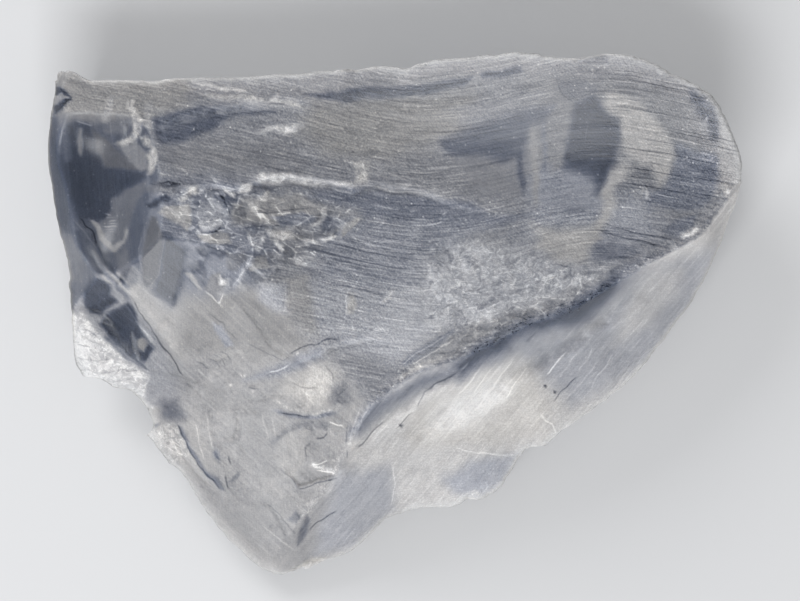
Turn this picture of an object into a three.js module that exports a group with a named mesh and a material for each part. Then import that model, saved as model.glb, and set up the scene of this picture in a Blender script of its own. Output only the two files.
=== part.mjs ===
// A hand specimen of petalite: one broken, see-through shard lying on its cleavage face.
// Millimetres, +Z up. X runs along the long straight edge, Y towards that edge.
// The origin is on the table, under the middle of the specimen's box.
//
// The stone is what is left after a few cracks have run through it. Each crack is a smooth sheet, and the
// upper surface is the lowest of the sheets at each place, so ridges lie where two sheets cross.
// Only the broken corner is hollow: there a steep face stands on a low shelf.
// Steps, grooves and shallow scoops are then taken off that surface.

import * as THREE from "three";
import { ParametricGeometry } from "three/addons/geometries/ParametricGeometry.js";
import { mergeGeometries, mergeVertices } from "three/addons/utils/BufferGeometryUtils.js";

const GRID_CELLS = 44; // cells along each side of the square that is mapped onto a face
const CENTRE = new THREE.Vector2(0, 2); // every point of the outline can be seen from here
const WALL_SHARE = 0.62; // how far out, from 0 to 1 on the square, the flat underside gives way to the wall
const WALL_SWELL = 0.82; // under 1 the wall swells outwards on its way up
const CREST_ROUNDING = 0.18; // millimetres over which two crossing sheets blend
const MERGE_DISTANCE = 1e-4; // millimetres, under which two points are one
const TINY = 1e-9; // far below any share of the square that is in use

// The outline seen from above, clockwise from the upper left corner: x, y.
const OUTLINE = [
  [-33.8, 23.6], [-33.2, 24.3], [-32.3, 24.4], [-31.0, 23.5], [-28.5, 23.7], [-25.0, 23.5],
  [-20.0, 23.8], [-15.4, 23.8], [-10.0, 24.2], [-4.0, 24.6], [0.2, 24.9], [1.5, 24.7],
  [2.6, 25.2], [6.0, 25.7], [10.0, 26.1], [13.6, 26.3], [15.6, 25.9], [18.6, 25.7],
  [21.6, 26.1], [25.4, 25.4], [27.6, 24.2], [29.6, 23.3], [31.6, 22.0], [33.0, 20.0],
  [33.9, 17.9], [34.6, 15.8], [34.8, 13.4], [34.2, 11.2], [33.3, 8.9], [32.3, 6.1],
  [31.2, 3.6], [29.8, 1.2], [28.0, -1.3], [25.5, -4.6], [23.6, -6.7], [21.0, -8.8],
  [18.8, -10.4], [16.6, -11.9], [15.4, -13.1], [14.4, -13.2], [13.3, -13.4], [12.4, -14.7],
  [11.6, -16.2], [10.2, -17.8], [8.8, -18.7], [7.5, -18.6], [6.2, -19.3], [3.0, -19.5],
  [0.6, -20.0], [-0.8, -20.5], [-2.4, -22.2], [-4.4, -23.8], [-6.4, -24.6], [-8.3, -24.6],
  [-9.6, -25.4], [-11.6, -26.3], [-13.2, -25.7], [-15.0, -24.3], [-17.2, -22.1], [-18.7, -20.2],
  [-20.5, -17.4], [-21.5, -15.6], [-22.8, -14.6], [-24.0, -13.2], [-24.9, -12.0], [-24.3, -11.3],
  [-24.5, -10.2], [-25.3, -8.7], [-26.6, -7.6], [-28.4, -7.2], [-29.6, -6.4], [-31.4, -6.1],
  [-32.1, -4.8], [-32.3, -1.5], [-32.6, 2.4], [-33.0, 6.0], [-33.6, 9.5], [-34.4, 13.0],
  [-34.8, 16.2], [-34.5, 19.2], [-34.1, 21.6],
];

// The flat cleavage face that the stone lies on, clockwise: x, y.
const FOOT = [
  [-29.5, 19.5], [-17.0, 21.0], [-2.0, 22.0], [13.0, 23.0], [24.0, 21.5], [29.5, 16.0],
  [28.5, 6.5], [22.0, -3.0], [13.5, -9.5], [6.5, -14.5], [-3.5, -18.0], [-9.0, -21.5],
  [-13.0, -21.0], [-18.5, -14.0], [-21.5, -7.5], [-28.0, -2.5], [-30.0, 7.0],
];

// The crest between the hollow upper face and the long lower face: x, y, height.
const CREST = [
  [34.7, 13.6, 11.0], [30.6, 8.1, 12.9], [26.6, 5.8, 14.5], [22.0, 3.2, 16.1], [18.4, 1.1, 17.0],
  [14.0, -0.6, 17.7], [10.0, -2.7, 18.2], [6.0, -4.4, 18.2], [2.5, -5.6, 17.7], [-1.0, -8.0, 16.3],
];
const CREST_TAIL = [
  [-3.2, -11.5, 14.0], [-5.0, -15.4, 11.3], [-7.5, -18.9, 8.3], [-9.5, -21.9, 5.6],
];

// Points that each crack passes through: x, y, height.
// Points well above the stone keep a sheet off its neighbours.
const CRACKS = {
  bowl: [
    ...CREST,
    [-33.4, 24.1, 10.8], [-23.4, 23.4, 12.0], [-9.4, 24.2, 12.4], [5.6, 25.6, 13.1], [16.6, 25.9, 13.7],
    [24.6, 25.6, 13.5], [30.6, 22.6, 12.3], [34.1, 17.1, 11.3], [-19.4, 15.6, 12.6], [-15.4, 18.6, 11.7],
    [-4.4, 18.6, 11.2], [5.6, 18.6, 10.6], [14.6, 19.6, 11.3], [22.6, 17.6, 10.9], [28.6, 14.6, 10.3],
    [8.6, 13.6, 9.9], [16.6, 14.1, 9.9], [20.6, 9.6, 10.8], [26.6, 10.1, 11.7], [3.6, 10.1, 10.1],
    [12.6, 6.6, 11.8], [5.6, 3.6, 13.3], [-1.4, 5.6, 12.0], [0.6, -1.4, 15.2], [-6.4, 3.6, 13.6],
    [-15.4, 7.6, 14.9], [-9.4, -1.4, 14.9],
  ],
  bevel: [
    ...CREST,
    ...CREST_TAIL,
    [31.8, 6.8, 9.9], [29.6, 4.6, 9.4], [25.6, 2.1, 10.6], [20.6, -0.9, 11.7], [15.1, -3.9, 12.6],
    [10.6, -6.9, 12.4], [5.6, -9.4, 11.7], [1.6, -12.4, 10.6], [-1.4, -16.4, 8.5], [-4.4, -20.4, 6.0],
    [26.1, -1.4, 7.4], [20.6, -5.9, 7.9], [14.6, -9.4, 8.2], [8.6, -13.4, 7.1], [3.6, -16.4, 6.0],
    [-0.4, -18.4, 5.3], [33.4, 8.7, 8.5], [31.2, 3.6, 6.7], [27.9, -1.4, 5.5], [24.4, -5.4, 4.9],
    [19.6, -9.4, 4.5], [15.4, -13.0, 4.4], [12.6, -13.9, 4.1], [10.6, -17.2, 3.4], [7.6, -18.7, 3.2],
    [2.6, -19.5, 3.2], [-0.6, -20.4, 3.2], [-3.6, -23.1, 3.0], [-6.6, -24.6, 2.8], [-9.4, -25.2, 2.6],
    [-11.9, -26.2, 2.5], [20.6, 9.6, 23.0], [5.6, 3.6, 25.3], [-6.4, -6.4, 23.0], [30.6, 16.6, 19.5],
    [-13.4, -16.4, 16.1],
  ],
  slope: [
    [-24.4, 7.6, 14.3], [-19.4, 6.6, 14.7], [-14.4, 2.6, 14.5], [-9.4, -2.4, 14.5], [-4.9, -8.4, 14.3],
    [-4.9, -12.4, 13.3], [-6.4, -16.4, 10.6], [-9.4, -20.4, 7.1], [-24.4, -0.4, 10.8], [-19.4, -3.4, 10.8],
    [-14.4, -8.4, 10.6], [-9.4, -12.4, 10.3], [-19.4, -11.4, 8.5], [-14.4, -16.4, 7.8], [-10.4, -18.4, 7.4],
    [-13.4, -22.4, 4.8], [-32.1, -4.9, 6.4], [-28.4, -7.2, 6.2], [-25.4, -8.4, 6.0], [-24.4, -10.4, 5.8],
    [-24.6, -12.2, 5.3], [-21.4, -15.4, 4.6], [-18.9, -19.9, 3.7], [-15.9, -23.4, 3.0], [-11.9, -26.2, 2.5],
    [-29.4, 6.6, 12.9], [-29.4, 1.6, 11.0], [-32.2, -1.4, 8.5], [0.6, 1.6, 23.0], [-14.4, 18.6, 21.8],
    [5.6, -13.4, 20.7],
  ],
  window: [
    [-29.4, 19.8, 11.3], [-24.4, 18.6, 12.4], [-28.9, 13.6, 8.5], [-27.4, 9.6, 9.4], [-23.9, 12.1, 12.9],
    [-28.2, 6.0, 10.8], [-32.8, 18.6, 10.3], [-32.4, 11.6, 9.9], [-31.4, 7.6, 9.7], [-19.4, 15.6, 17.2],
    [-23.4, 3.6, 17.2], [-30.4, 1.6, 13.8], [-31.4, 23.6, 13.8],
  ],
  left_edge: [
    [-33.4, 22.1, 10.8], [-33.0, 16.6, 10.6], [-32.4, 11.6, 10.1], [-31.6, 6.6, 9.9], [-30.8, 2.6, 9.5],
    [-31.4, 0.0, 8.7], [-33.8, 23.6, 9.4], [-34.4, 19.6, 8.7], [-34.8, 16.6, 8.0], [-33.8, 11.1, 7.4],
    [-32.8, 5.6, 6.9], [-32.4, -0.4, 6.3], [-32.1, -4.9, 5.8], [-27.4, 21.6, 17.2], [-26.4, 11.6, 18.4],
    [-26.4, 1.6, 17.2],
  ],
};

// The broken corner: the steep face above it and the shelf that the face stands on.
const CORNER_FACE = [
  [-30.6, 3.0, 10.6], [-26.4, 1.6, 11.0], [-23.4, -1.9, 10.1], [-21.2, -5.6, 8.7], [-31.0, 0.2, 6.4],
  [-27.9, -2.9, 6.4], [-24.6, -6.0, 6.0], [-24.4, 1.6, 14.9], [-20.4, -2.4, 13.8], [-32.4, 1.6, 8.0],
];
const CORNER_SHELF = [
  [-31.0, 0.2, 7.1], [-24.6, -6.0, 6.2], [-32.1, -1.4, 6.7], [-32.1, -4.9, 5.3], [-28.4, -7.2, 5.1],
  [-25.4, -8.4, 5.1], [-28.4, -3.4, 6.4], [-26.4, -0.4, 7.6], [-24.4, -10.4, 7.0], [-19.0, -19.0, 13.0],
];

// Steps in the surface. The ground to the right of the direction of travel is lower. Points: x, y, drop.
const STEPS = [
  {
    wall: 0.45, reach: 9,
    line: [
      [-23.8, 13.4, 0], [-20.4, 12.9, 0.6], [-15.9, 12.9, 1.0], [-11.9, 13.8, 1.2], [-7.4, 13.5, 1.2],
      [-4.2, 12.6, 1.1], [-1.6, 13.2, 0.9], [2.6, 12.6, 0.7], [7.6, 11.0, 0.5], [12.6, 10.6, 0.3],
      [16.6, 10.2, 0],
    ],
  },
  {
    wall: 0.4, reach: 7,
    line: [
      [-30.4, 19.4, 0], [-27.6, 18.7, 0.5], [-24.4, 19.1, 0.7], [-22.2, 19.8, 0.8], [-17.9, 21.0, 0.9],
      [-14.9, 21.2, 0.7], [-10.4, 21.8, 0.5], [-8.4, 21.9, 0],
    ],
  },
  {
    wall: 0.35, reach: 5,
    line: [
      [-15.4, 1.3, 0], [-13.2, -0.9, 0.6], [-11.8, -3.1, 0.7], [-9.4, -4.3, 0.8], [-7.4, -3.7, 0.7],
      [-4.9, -2.5, 0.6], [-2.2, -2.2, 0.5], [0.8, -3.1, 0],
    ],
  },
  {
    wall: 0.5, reach: 5,
    line: [
      [-25.9, 5.4, 0], [-27.4, 3.1, 0.5], [-25.4, 0.4, 0.6], [-21.9, -3.6, 0.5], [-19.4, -7.2, 0.3],
      [-17.6, -10.4, 0],
    ],
  },
];

// The two grooves under the crest. Points: x, y, depth.
const GROOVES = [
  {
    halfWidth: 1.6,
    line: [
      [-4.2, -13.9, 0], [-2.2, -10.9, 0.9], [0.6, -8.6, 1.1], [4.6, -6.2, 1.0], [8.8, -4.0, 0.6],
      [11.1, -3.2, 0],
    ],
  },
  {
    halfWidth: 2.2,
    line: [
      [-5.9, -15.9, 0], [-1.9, -13.0, 0.5], [3.6, -10.4, 1.0], [8.6, -7.4, 1.3], [12.6, -4.8, 1.5],
      [16.6, -2.4, 1.7], [20.6, 0.4, 1.6], [24.6, 3.1, 1.2], [28.6, 5.4, 0.6], [30.6, 6.6, 0],
    ],
  },
];

// Shallow scoops: x, y, half length, half width, turn in degrees, depth.
const SCOOPS = [
  [-7.6, -6.8, 4.6, 3.4, -20, 0.9], [-10.2, -13.9, 2.4, 3.2, 0, 0.7], [-4.9, 1.6, 5.5, 5.0, 0, 0.6],
  [8.6, -15.9, 4.6, 3.2, 25, 0.8], [20.6, 15.6, 2.4, 7.0, -8, 0.6], [29.6, 13.1, 2.6, 5.0, -15, 0.6],
  [13.6, 16.6, 2.2, 6.0, -15, 0.5], [25.6, 7.6, 4.5, 2.0, 28, 0.9], [7.6, 18.6, 9.0, 3.0, 5, 0.4],
  [-16.4, -10.4, 5.0, 8.0, 10, 0.9], [-21.4, -8.4, 3.0, 5.0, 20, 0.7], [-13.9, -20.4, 6.0, 3.0, -45, 0.5],
  [-20.9, 2.4, 2.2, 5.0, 20, 0.8], [-16.6, 1.6, 3.0, 4.4, 30, 0.7], [-17.9, 4.6, 2.0, 2.4, 0, 0.9],
  [-12.9, 5.4, 2.6, 2.0, -10, 0.8], [-13.9, 9.8, 3.0, 1.6, 0, 0.7], [-18.9, 10.1, 1.8, 2.2, 0, 0.9],
  [-8.9, 10.1, 2.6, 1.4, -10, 0.6], [-22.9, 7.6, 2.0, 2.6, 15, 0.7], [-27.4, -1.4, 1.6, 3.4, 35, 0.6],
];

// Solves a square set of linear equations by elimination with row swaps.
// Each row holds its coefficients, then its value.
function solve(rows) {
  const count = rows.length;
  for (let column = 0; column < count; column++) {
    let best = column;
    for (let row = column + 1; row < count; row++) {
      if (Math.abs(rows[row][column]) > Math.abs(rows[best][column])) best = row;
    }
    [rows[column], rows[best]] = [rows[best], rows[column]];
    for (let row = 0; row < count; row++) {
      if (row === column) continue;
      const factor = rows[row][column] / rows[column][column];
      for (let k = column; k <= count; k++) rows[row][k] -= factor * rows[column][k];
    }
  }
  return rows.map((row, i) => row[count] / row[i]);
}

// How far a thin plate bends at a squared distance from a pin: r^2 times ln r.
function bending(squared) {
  return squared > 0 ? 0.5 * squared * Math.log(squared) : 0;
}

// A thin plate pinned at the points: a plane plus one bending term for each pin. Returns its height at x, y.
function thinPlate(points) {
  const rows = points.map(([x, y, z]) => [
    ...points.map(([px, py]) => bending((x - px) ** 2 + (y - py) ** 2)),
    1, x, y, z,
  ]);
  rows.push([...points.map(() => 1), 0, 0, 0, 0]);
  rows.push([...points.map(([x]) => x), 0, 0, 0, 0]);
  rows.push([...points.map(([, y]) => y), 0, 0, 0, 0]);
  const weights = solve(rows);
  const [level, slopeX, slopeY] = weights.slice(points.length);
  return (x, y) => points.reduce(
    (sum, [px, py], i) => sum + weights[i] * bending((x - px) ** 2 + (y - py) ** 2),
    level + slopeX * x + slopeY * y,
  );
}

// The nearest place on a line of points to x, y: its distance and the line's third value there.
// It also gives the side that x, y is on: over 0 is to the right of the direction of travel.
function nearest(line, x, y) {
  let found = { distance: Infinity, side: 0, value: 0 };
  for (let i = 0; i + 1 < line.length; i++) {
    const [ax, ay, av] = line[i];
    const [bx, by, bv] = line[i + 1];
    const dx = bx - ax;
    const dy = by - ay;
    const share = THREE.MathUtils.clamp(((x - ax) * dx + (y - ay) * dy) / (dx * dx + dy * dy), 0, 1);
    const distance = Math.hypot(x - ax - share * dx, y - ay - share * dy);
    if (distance < found.distance) {
      const side = (x - ax) * dy - (y - ay) * dx;
      found = { distance, side, value: av + (bv - av) * share };
    }
  }
  return found;
}

// What the steps take off at x, y: each drops over its wall and comes back over its reach.
function stepDepth(x, y) {
  return STEPS.reduce((sum, { wall, reach, line }) => {
    const { distance, side, value } = nearest(line, x, y);
    if (side <= 0) return sum;
    const fall = THREE.MathUtils.smoothstep(distance, 0, wall);
    return sum + value * fall * (1 - THREE.MathUtils.smoothstep(distance, 0, reach));
  }, 0);
}

function grooveDepth(x, y) {
  return GROOVES.reduce((sum, { halfWidth, line }) => {
    const { distance, value } = nearest(line, x, y);
    return sum + value * (1 - THREE.MathUtils.smoothstep(distance, 0, halfWidth));
  }, 0);
}

// The deepest scoop at x, y. Each is a bowl: its depth times one less the squared distance from its middle.
function scoopDepth(x, y) {
  return SCOOPS.reduce((deepest, [cx, cy, length, width, turn, depth]) => {
    const angle = THREE.MathUtils.degToRad(turn);
    const along = ((x - cx) * Math.cos(angle) + (y - cy) * Math.sin(angle)) / length;
    const across = ((y - cy) * Math.cos(angle) - (x - cx) * Math.sin(angle)) / width;
    return Math.max(deepest, depth * (1 - along * along - across * across));
  }, 0);
}

const cracks = Object.values(CRACKS).map(thinPlate);
const cornerFace = thinPlate(CORNER_FACE);
const cornerShelf = thinPlate(CORNER_SHELF);

// The lowest of some heights, with the crossings rounded: the logarithm of the sum of falling exponentials.
function softLowest(heights) {
  const lowest = Math.min(...heights);
  const sum = heights.reduce((total, height) => total + Math.exp((lowest - height) / CREST_ROUNDING), 0);
  return lowest - CREST_ROUNDING * Math.log(sum);
}

// Height of the upper surface at x, y: the lowest crack, less what the smaller breaks took off.
function upperHeight(x, y) {
  const corner = Math.max(cornerFace(x, y), cornerShelf(x, y));
  const lowest = softLowest([...cracks.map((crack) => crack(x, y)), corner]);
  return lowest - stepDepth(x, y) - grooveDepth(x, y) - scoopDepth(x, y);
}

// The outline as evenly spaced points, one for each cell along the four sides of the square.
const RIM_POINTS = GRID_CELLS * 4;
const rimCurve = new THREE.CatmullRomCurve3(
  OUTLINE.map(([x, y]) => new THREE.Vector3(x, y, 0)), true, "centripetal",
);
const rim = rimCurve.getSpacedPoints(RIM_POINTS).map(({ x, y }) => new THREE.Vector2(x, y));

// Where the ray from the centre towards a point crosses the edge of the flat foot.
function footPoint(target) {
  const ray = target.clone().sub(CENTRE);
  let share = 0;
  FOOT.forEach(([ax, ay], i) => {
    const [bx, by] = FOOT[(i + 1) % FOOT.length];
    const edge = new THREE.Vector2(bx - ax, by - ay);
    const offset = new THREE.Vector2(ax, ay).sub(CENTRE);
    const determinant = ray.cross(edge);
    const alongRay = offset.cross(edge) / determinant;
    const alongEdge = offset.cross(ray) / determinant;
    if (alongRay > 0 && alongEdge >= 0 && alongEdge <= 1) share = alongRay;
  });
  return CENTRE.clone().addScaledVector(ray, share);
}

// Places u, v on a square that is wrapped onto the outline.
// Gives its share of the way out, from 0 to 1, and the rim point that it faces.
function place(u, v) {
  const a = 2 * u - 1;
  const b = 2 * v - 1;
  const share = Math.max(Math.abs(a), Math.abs(b));
  if (share < TINY) return { share: 0, edge: rim[0] };
  let quarter;
  if (b >= share - TINY) quarter = (a / share + 1) / 2;
  else if (a >= share - TINY) quarter = 1 + (1 - b / share) / 2;
  else if (b <= TINY - share) quarter = 2 + (1 - a / share) / 2;
  else quarter = 3 + (b / share + 1) / 2;
  const along = (quarter / 4) * RIM_POINTS;
  const before = Math.floor(along + TINY);
  const blend = Math.max(0, along - before);
  const edge = rim[before % RIM_POINTS].clone().lerp(rim[(before + 1) % RIM_POINTS], blend);
  return { share, edge };
}

function upperFace(u, v, target) {
  const { share, edge } = place(u, v);
  const spot = CENTRE.clone().lerp(edge, share);
  target.set(spot.x, spot.y, upperHeight(spot.x, spot.y));
}

// The underside: a flat foot, then a wall that rises and swells out to the rim.
function lowerFace(u, v, target) {
  const { share, edge } = place(u, v);
  const foot = footPoint(edge);
  if (share <= WALL_SHARE) {
    const spot = CENTRE.clone().lerp(foot, share / WALL_SHARE);
    target.set(spot.x, spot.y, 0);
    return;
  }
  const rise = (share - WALL_SHARE) / (1 - WALL_SHARE);
  const spot = foot.lerp(edge, rise ** WALL_SWELL);
  target.set(spot.x, spot.y, upperHeight(edge.x, edge.y) * rise);
}

// The two faces share the rim, so merging their points closes the solid.
function shardGeometry() {
  const upper = new ParametricGeometry(upperFace, GRID_CELLS, GRID_CELLS);
  const lower = new ParametricGeometry((u, v, target) => lowerFace(v, u, target), GRID_CELLS, GRID_CELLS);
  for (const face of [upper, lower]) {
    face.deleteAttribute("normal");
    face.deleteAttribute("uv");
  }
  const closed = mergeVertices(mergeGeometries([upper, lower]), MERGE_DISTANCE);
  closed.computeVertexNormals();
  return closed;
}

const petaliteMaterial = new THREE.MeshStandardMaterial({ color: 0xc9ccd2, roughness: 0.3, metalness: 0 });

const petalite = new THREE.Mesh(shardGeometry(), petaliteMaterial);
petalite.name = "petalite";

const specimen = new THREE.Group();
specimen.add(petalite);

export default specimen;
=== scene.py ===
# %% [markdown]
# # A broken shard of petalite
# Petalite is a lithium mineral. Clear pieces break like glass, into smooth hollow faces with crisp crests,
# and some faces are crushed white where the crack ran rough. This lesson builds one such shard as a single
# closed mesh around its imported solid, gives it a see-through crystal material, and lights it from above.

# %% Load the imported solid
import math
from functools import reduce

import bpy
import numpy as np
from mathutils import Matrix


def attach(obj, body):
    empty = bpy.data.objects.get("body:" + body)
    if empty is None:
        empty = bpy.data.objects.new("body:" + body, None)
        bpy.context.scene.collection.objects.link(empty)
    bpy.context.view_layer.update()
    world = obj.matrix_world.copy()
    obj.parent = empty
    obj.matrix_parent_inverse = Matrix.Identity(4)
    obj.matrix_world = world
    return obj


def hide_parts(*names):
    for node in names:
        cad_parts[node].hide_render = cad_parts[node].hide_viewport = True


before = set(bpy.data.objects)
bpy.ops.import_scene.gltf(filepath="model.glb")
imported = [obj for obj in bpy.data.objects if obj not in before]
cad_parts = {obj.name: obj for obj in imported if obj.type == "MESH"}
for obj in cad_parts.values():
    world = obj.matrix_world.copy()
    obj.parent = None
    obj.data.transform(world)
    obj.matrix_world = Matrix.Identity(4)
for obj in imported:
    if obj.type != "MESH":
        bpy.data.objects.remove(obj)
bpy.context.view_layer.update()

# %% [markdown]
# ## Working in millimetres
# All the shapes below are worked out in millimetres and turned to metres only when the mesh is made.
# Random draws come from seeded generators, so every run makes the same stone.

# %% Units and noise
MM = 0.001  # metres
NOISE_CELLS = 256  # after so many cells the noise repeats


def ease(t):
    """0 below 0, 1 above 1 and t*t*(3 - 2t) in between."""
    t = np.clip(t, 0, 1)
    return t * t * (3 - 2 * t)


def soft_noise(u, v, seed):
    """Smooth noise from -1 to 1: random heights at whole-number places, blended by t*t*(3 - 2t)."""
    heights = np.random.default_rng(seed).uniform(-1, 1, (NOISE_CELLS, NOISE_CELLS))
    column, row = np.floor(u).astype(int), np.floor(v).astype(int)
    across, along = ease(u - column), ease(v - row)
    left, right = column % NOISE_CELLS, (column + 1) % NOISE_CELLS
    near, far = row % NOISE_CELLS, (row + 1) % NOISE_CELLS
    low = heights[left, near] * (1 - across) + heights[right, near] * across
    high = heights[left, far] * (1 - across) + heights[right, far] * across
    return low * (1 - along) + high * along


def rough_noise(u, v, seed, layers=3):
    """Sum of soft noise. Each layer is half as wide and half as strong as the one before, and moved aside, so
    that no two line up."""
    return sum(soft_noise(u * 2**n + 17 * n, v * 2**n - 31 * n, seed + n) / 2**n for n in range(layers))


# %% [markdown]
# ## The outline
# Seen from above the shard has one long straight edge, a broad round end and a ragged point. A curve object
# could draw it, but the mesh needs points at even steps, so that every edge along the rim is about as long
# as the next. So the outline is worked out as a smooth closed curve through a few points, with a corner
# wherever a crack turned sharply.

# %% Outline points: x, y, and 1 where there is a corner
OUTLINE = [
    (-33.8, 23.6, 1), (-33.2, 24.3, 0), (-32.2, 24.35, 0), (-30.5, 23.55, 0), (-28.0, 23.65, 0),
    (-25.0, 23.5, 0), (-20.0, 23.8, 0), (-15.4, 23.8, 0), (-10.0, 24.2, 0), (-4.0, 24.6, 0), (0.2, 24.9, 0),
    (1.5, 24.7, 1), (2.6, 25.2, 0), (6.0, 25.7, 0), (10.0, 26.05, 0), (13.6, 26.2, 0), (15.6, 25.85, 0),
    (18.6, 25.7, 0), (21.6, 26.1, 0), (25.4, 25.4, 0), (27.6, 24.2, 0), (29.6, 23.3, 0), (31.6, 22.0, 0),
    (33.0, 20.0, 0), (33.9, 17.9, 0), (34.6, 15.8, 0), (34.8, 13.4, 1), (34.2, 11.2, 0), (33.3, 8.9, 0),
    (32.3, 6.1, 0), (31.2, 3.6, 0), (29.8, 1.2, 0), (28.0, -1.3, 0), (25.5, -4.6, 0), (23.6, -6.7, 0),
    (21.0, -8.8, 0), (18.6, -10.5, 0), (16.6, -11.9, 0), (15.4, -13.1, 1), (14.4, -13.2, 0),
    (13.3, -13.4, 1), (12.4, -14.7, 0), (11.6, -16.2, 0), (10.2, -17.8, 0), (8.8, -18.7, 0),
    (7.5, -18.6, 1), (6.2, -19.3, 0), (3.0, -19.5, 0), (0.6, -20.0, 0), (-0.8, -20.5, 0), (-2.4, -22.2, 0),
    (-4.4, -23.8, 0), (-6.4, -24.6, 0), (-8.3, -24.6, 1), (-9.6, -25.4, 0), (-11.6, -26.2, 0),
    (-13.2, -25.7, 0), (-15.0, -24.3, 0), (-17.2, -22.1, 0), (-18.7, -20.2, 0), (-20.5, -17.4, 0),
    (-21.6, -15.7, 0), (-22.8, -14.7, 0), (-24.0, -13.2, 0), (-24.9, -12.0, 1), (-24.3, -11.3, 0),
    (-24.5, -10.2, 0), (-25.3, -8.7, 0), (-26.6, -7.6, 0), (-28.4, -7.2, 1), (-29.6, -6.4, 0),
    (-31.4, -6.1, 1), (-32.1, -4.8, 1), (-32.3, -1.5, 0), (-32.6, 2.4, 0), (-33.0, 6.0, 0), (-33.8, 9.5, 0),
    (-34.4, 13.0, 0), (-34.7, 16.2, 0), (-34.5, 19.2, 0), (-34.1, 21.6, 1),
]


def closed_curve(points, count):
    """count even steps round a closed curve of cubic arcs. Each arc leaves and enters its ends along the mean
    of the two chords there, or along its own chord at a corner."""
    place = np.array([q[:2] for q in points], float)
    corner = np.array([q[2] for q in points], bool)[:, None]
    chord = np.roll(place, -1, 0) - place
    length = np.linalg.norm(chord, axis=1)[:, None]
    ahead = chord / length
    behind = np.roll(ahead, 1, 0)
    before = np.roll(length, 1, 0)
    mean = (ahead * before + behind * length) / (before + length)
    leaving, entering = np.where(corner, ahead, mean), np.where(corner, behind, mean)
    start = np.r_[0, np.cumsum(length)]
    walk = np.arange(count) / count * start[-1]
    arc = np.clip(np.searchsorted(start, walk, "right") - 1, 0, len(place) - 1)
    t = ((walk - start[arc]) / length[arc, 0])[:, None]
    following = (arc + 1) % len(place)
    rise = t * t * (3 - 2 * t)
    bend = (t**3 - 2 * t**2 + t) * leaving[arc] + (t**3 - t**2) * entering[following]
    return place[arc] * (1 - rise) + place[following] * rise + bend * length[arc]


# %% [markdown]
# ## A grid that fits the outline
# The upper surface is one skin with crests that run every way. A plain grid cut off at the outline would
# have a jagged rim, and a remesh would round the crests off. So a square grid is wrapped onto the outline
# ring by ring: each square ring becomes a smaller copy of the rim. Most cells are about a fifth of a
# millimetre wide, which is fine enough for the crests and steps.

# %% Rim, with small chips along it
HALF = 128  # cells from the middle of the grid to its edge
SIDE = 2 * HALF + 1  # points along one side of the grid
RIM_COUNT = 8 * HALF
CENTRE = np.array([-5.0, -1.0])  # every point of the outline can be seen from here
CHIP_DEPTH, CHIP_LENGTH, CHIPPED_RUN = 0.10, 0.9, 4  # millimetres

rim = closed_curve(OUTLINE, RIM_COUNT)
rim_arc = np.r_[0, np.cumsum(np.linalg.norm(np.diff(rim, axis=0), axis=1))]
inward = CENTRE - rim
inward /= np.linalg.norm(inward, axis=1)[:, None]
chipping = CHIP_DEPTH * (1 + rough_noise(rim_arc / CHIP_LENGTH, rim_arc * 0, 5))
chipping *= ease(1 + rough_noise(rim_arc / CHIPPED_RUN, rim_arc * 0, 6))
rim = rim + inward * chipping[:, None]
print("rim points:", RIM_COUNT, "deepest chip, mm:", chipping.max())

# %% Wrap the grid
cells_out = np.arange(-HALF, HALF + 1)
grid_x, grid_y = np.meshgrid(cells_out, cells_out)
ring = np.maximum(abs(grid_x), abs(grid_y))
safe = np.maximum(ring, 1)
# How far round its square each point lies, in quarters, clockwise from the upper left
quarter = np.select(
    [grid_y == ring, grid_x == ring, grid_y == -ring],
    [(grid_x / safe + 1) / 2, 1 + (1 - grid_y / safe) / 2, 2 + (1 - grid_x / safe) / 2],
    3 + (grid_y / safe + 1) / 2,
)
place_on_rim = quarter / 4 * RIM_COUNT
before = np.floor(place_on_rim + 1e-9).astype(int)
blend = np.clip(place_on_rim - before, 0, 1)[..., None]
facing = rim[before % RIM_COUNT] * (1 - blend) + rim[(before + 1) % RIM_COUNT] * blend
spot = CENTRE + (facing - CENTRE) * (ring / HALF)[..., None]
x, y = spot[..., 0], spot[..., 1]
print("grid points:", x.size)

# %% [markdown]
# ## The cracks
# The upper surface is what a few cracks left. It could be sculpted by hand, but a crack is easier to put
# right when one moved point bends all of it smoothly. So each crack is a smooth sheet through a handful of
# points, like a thin metal plate pinned at each, and the stone reaches up to whichever sheet is lowest.
# Where two sheets cross there is a crest. Only the broken corner is hollow: there a steep face stands on a
# low shelf.

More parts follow.
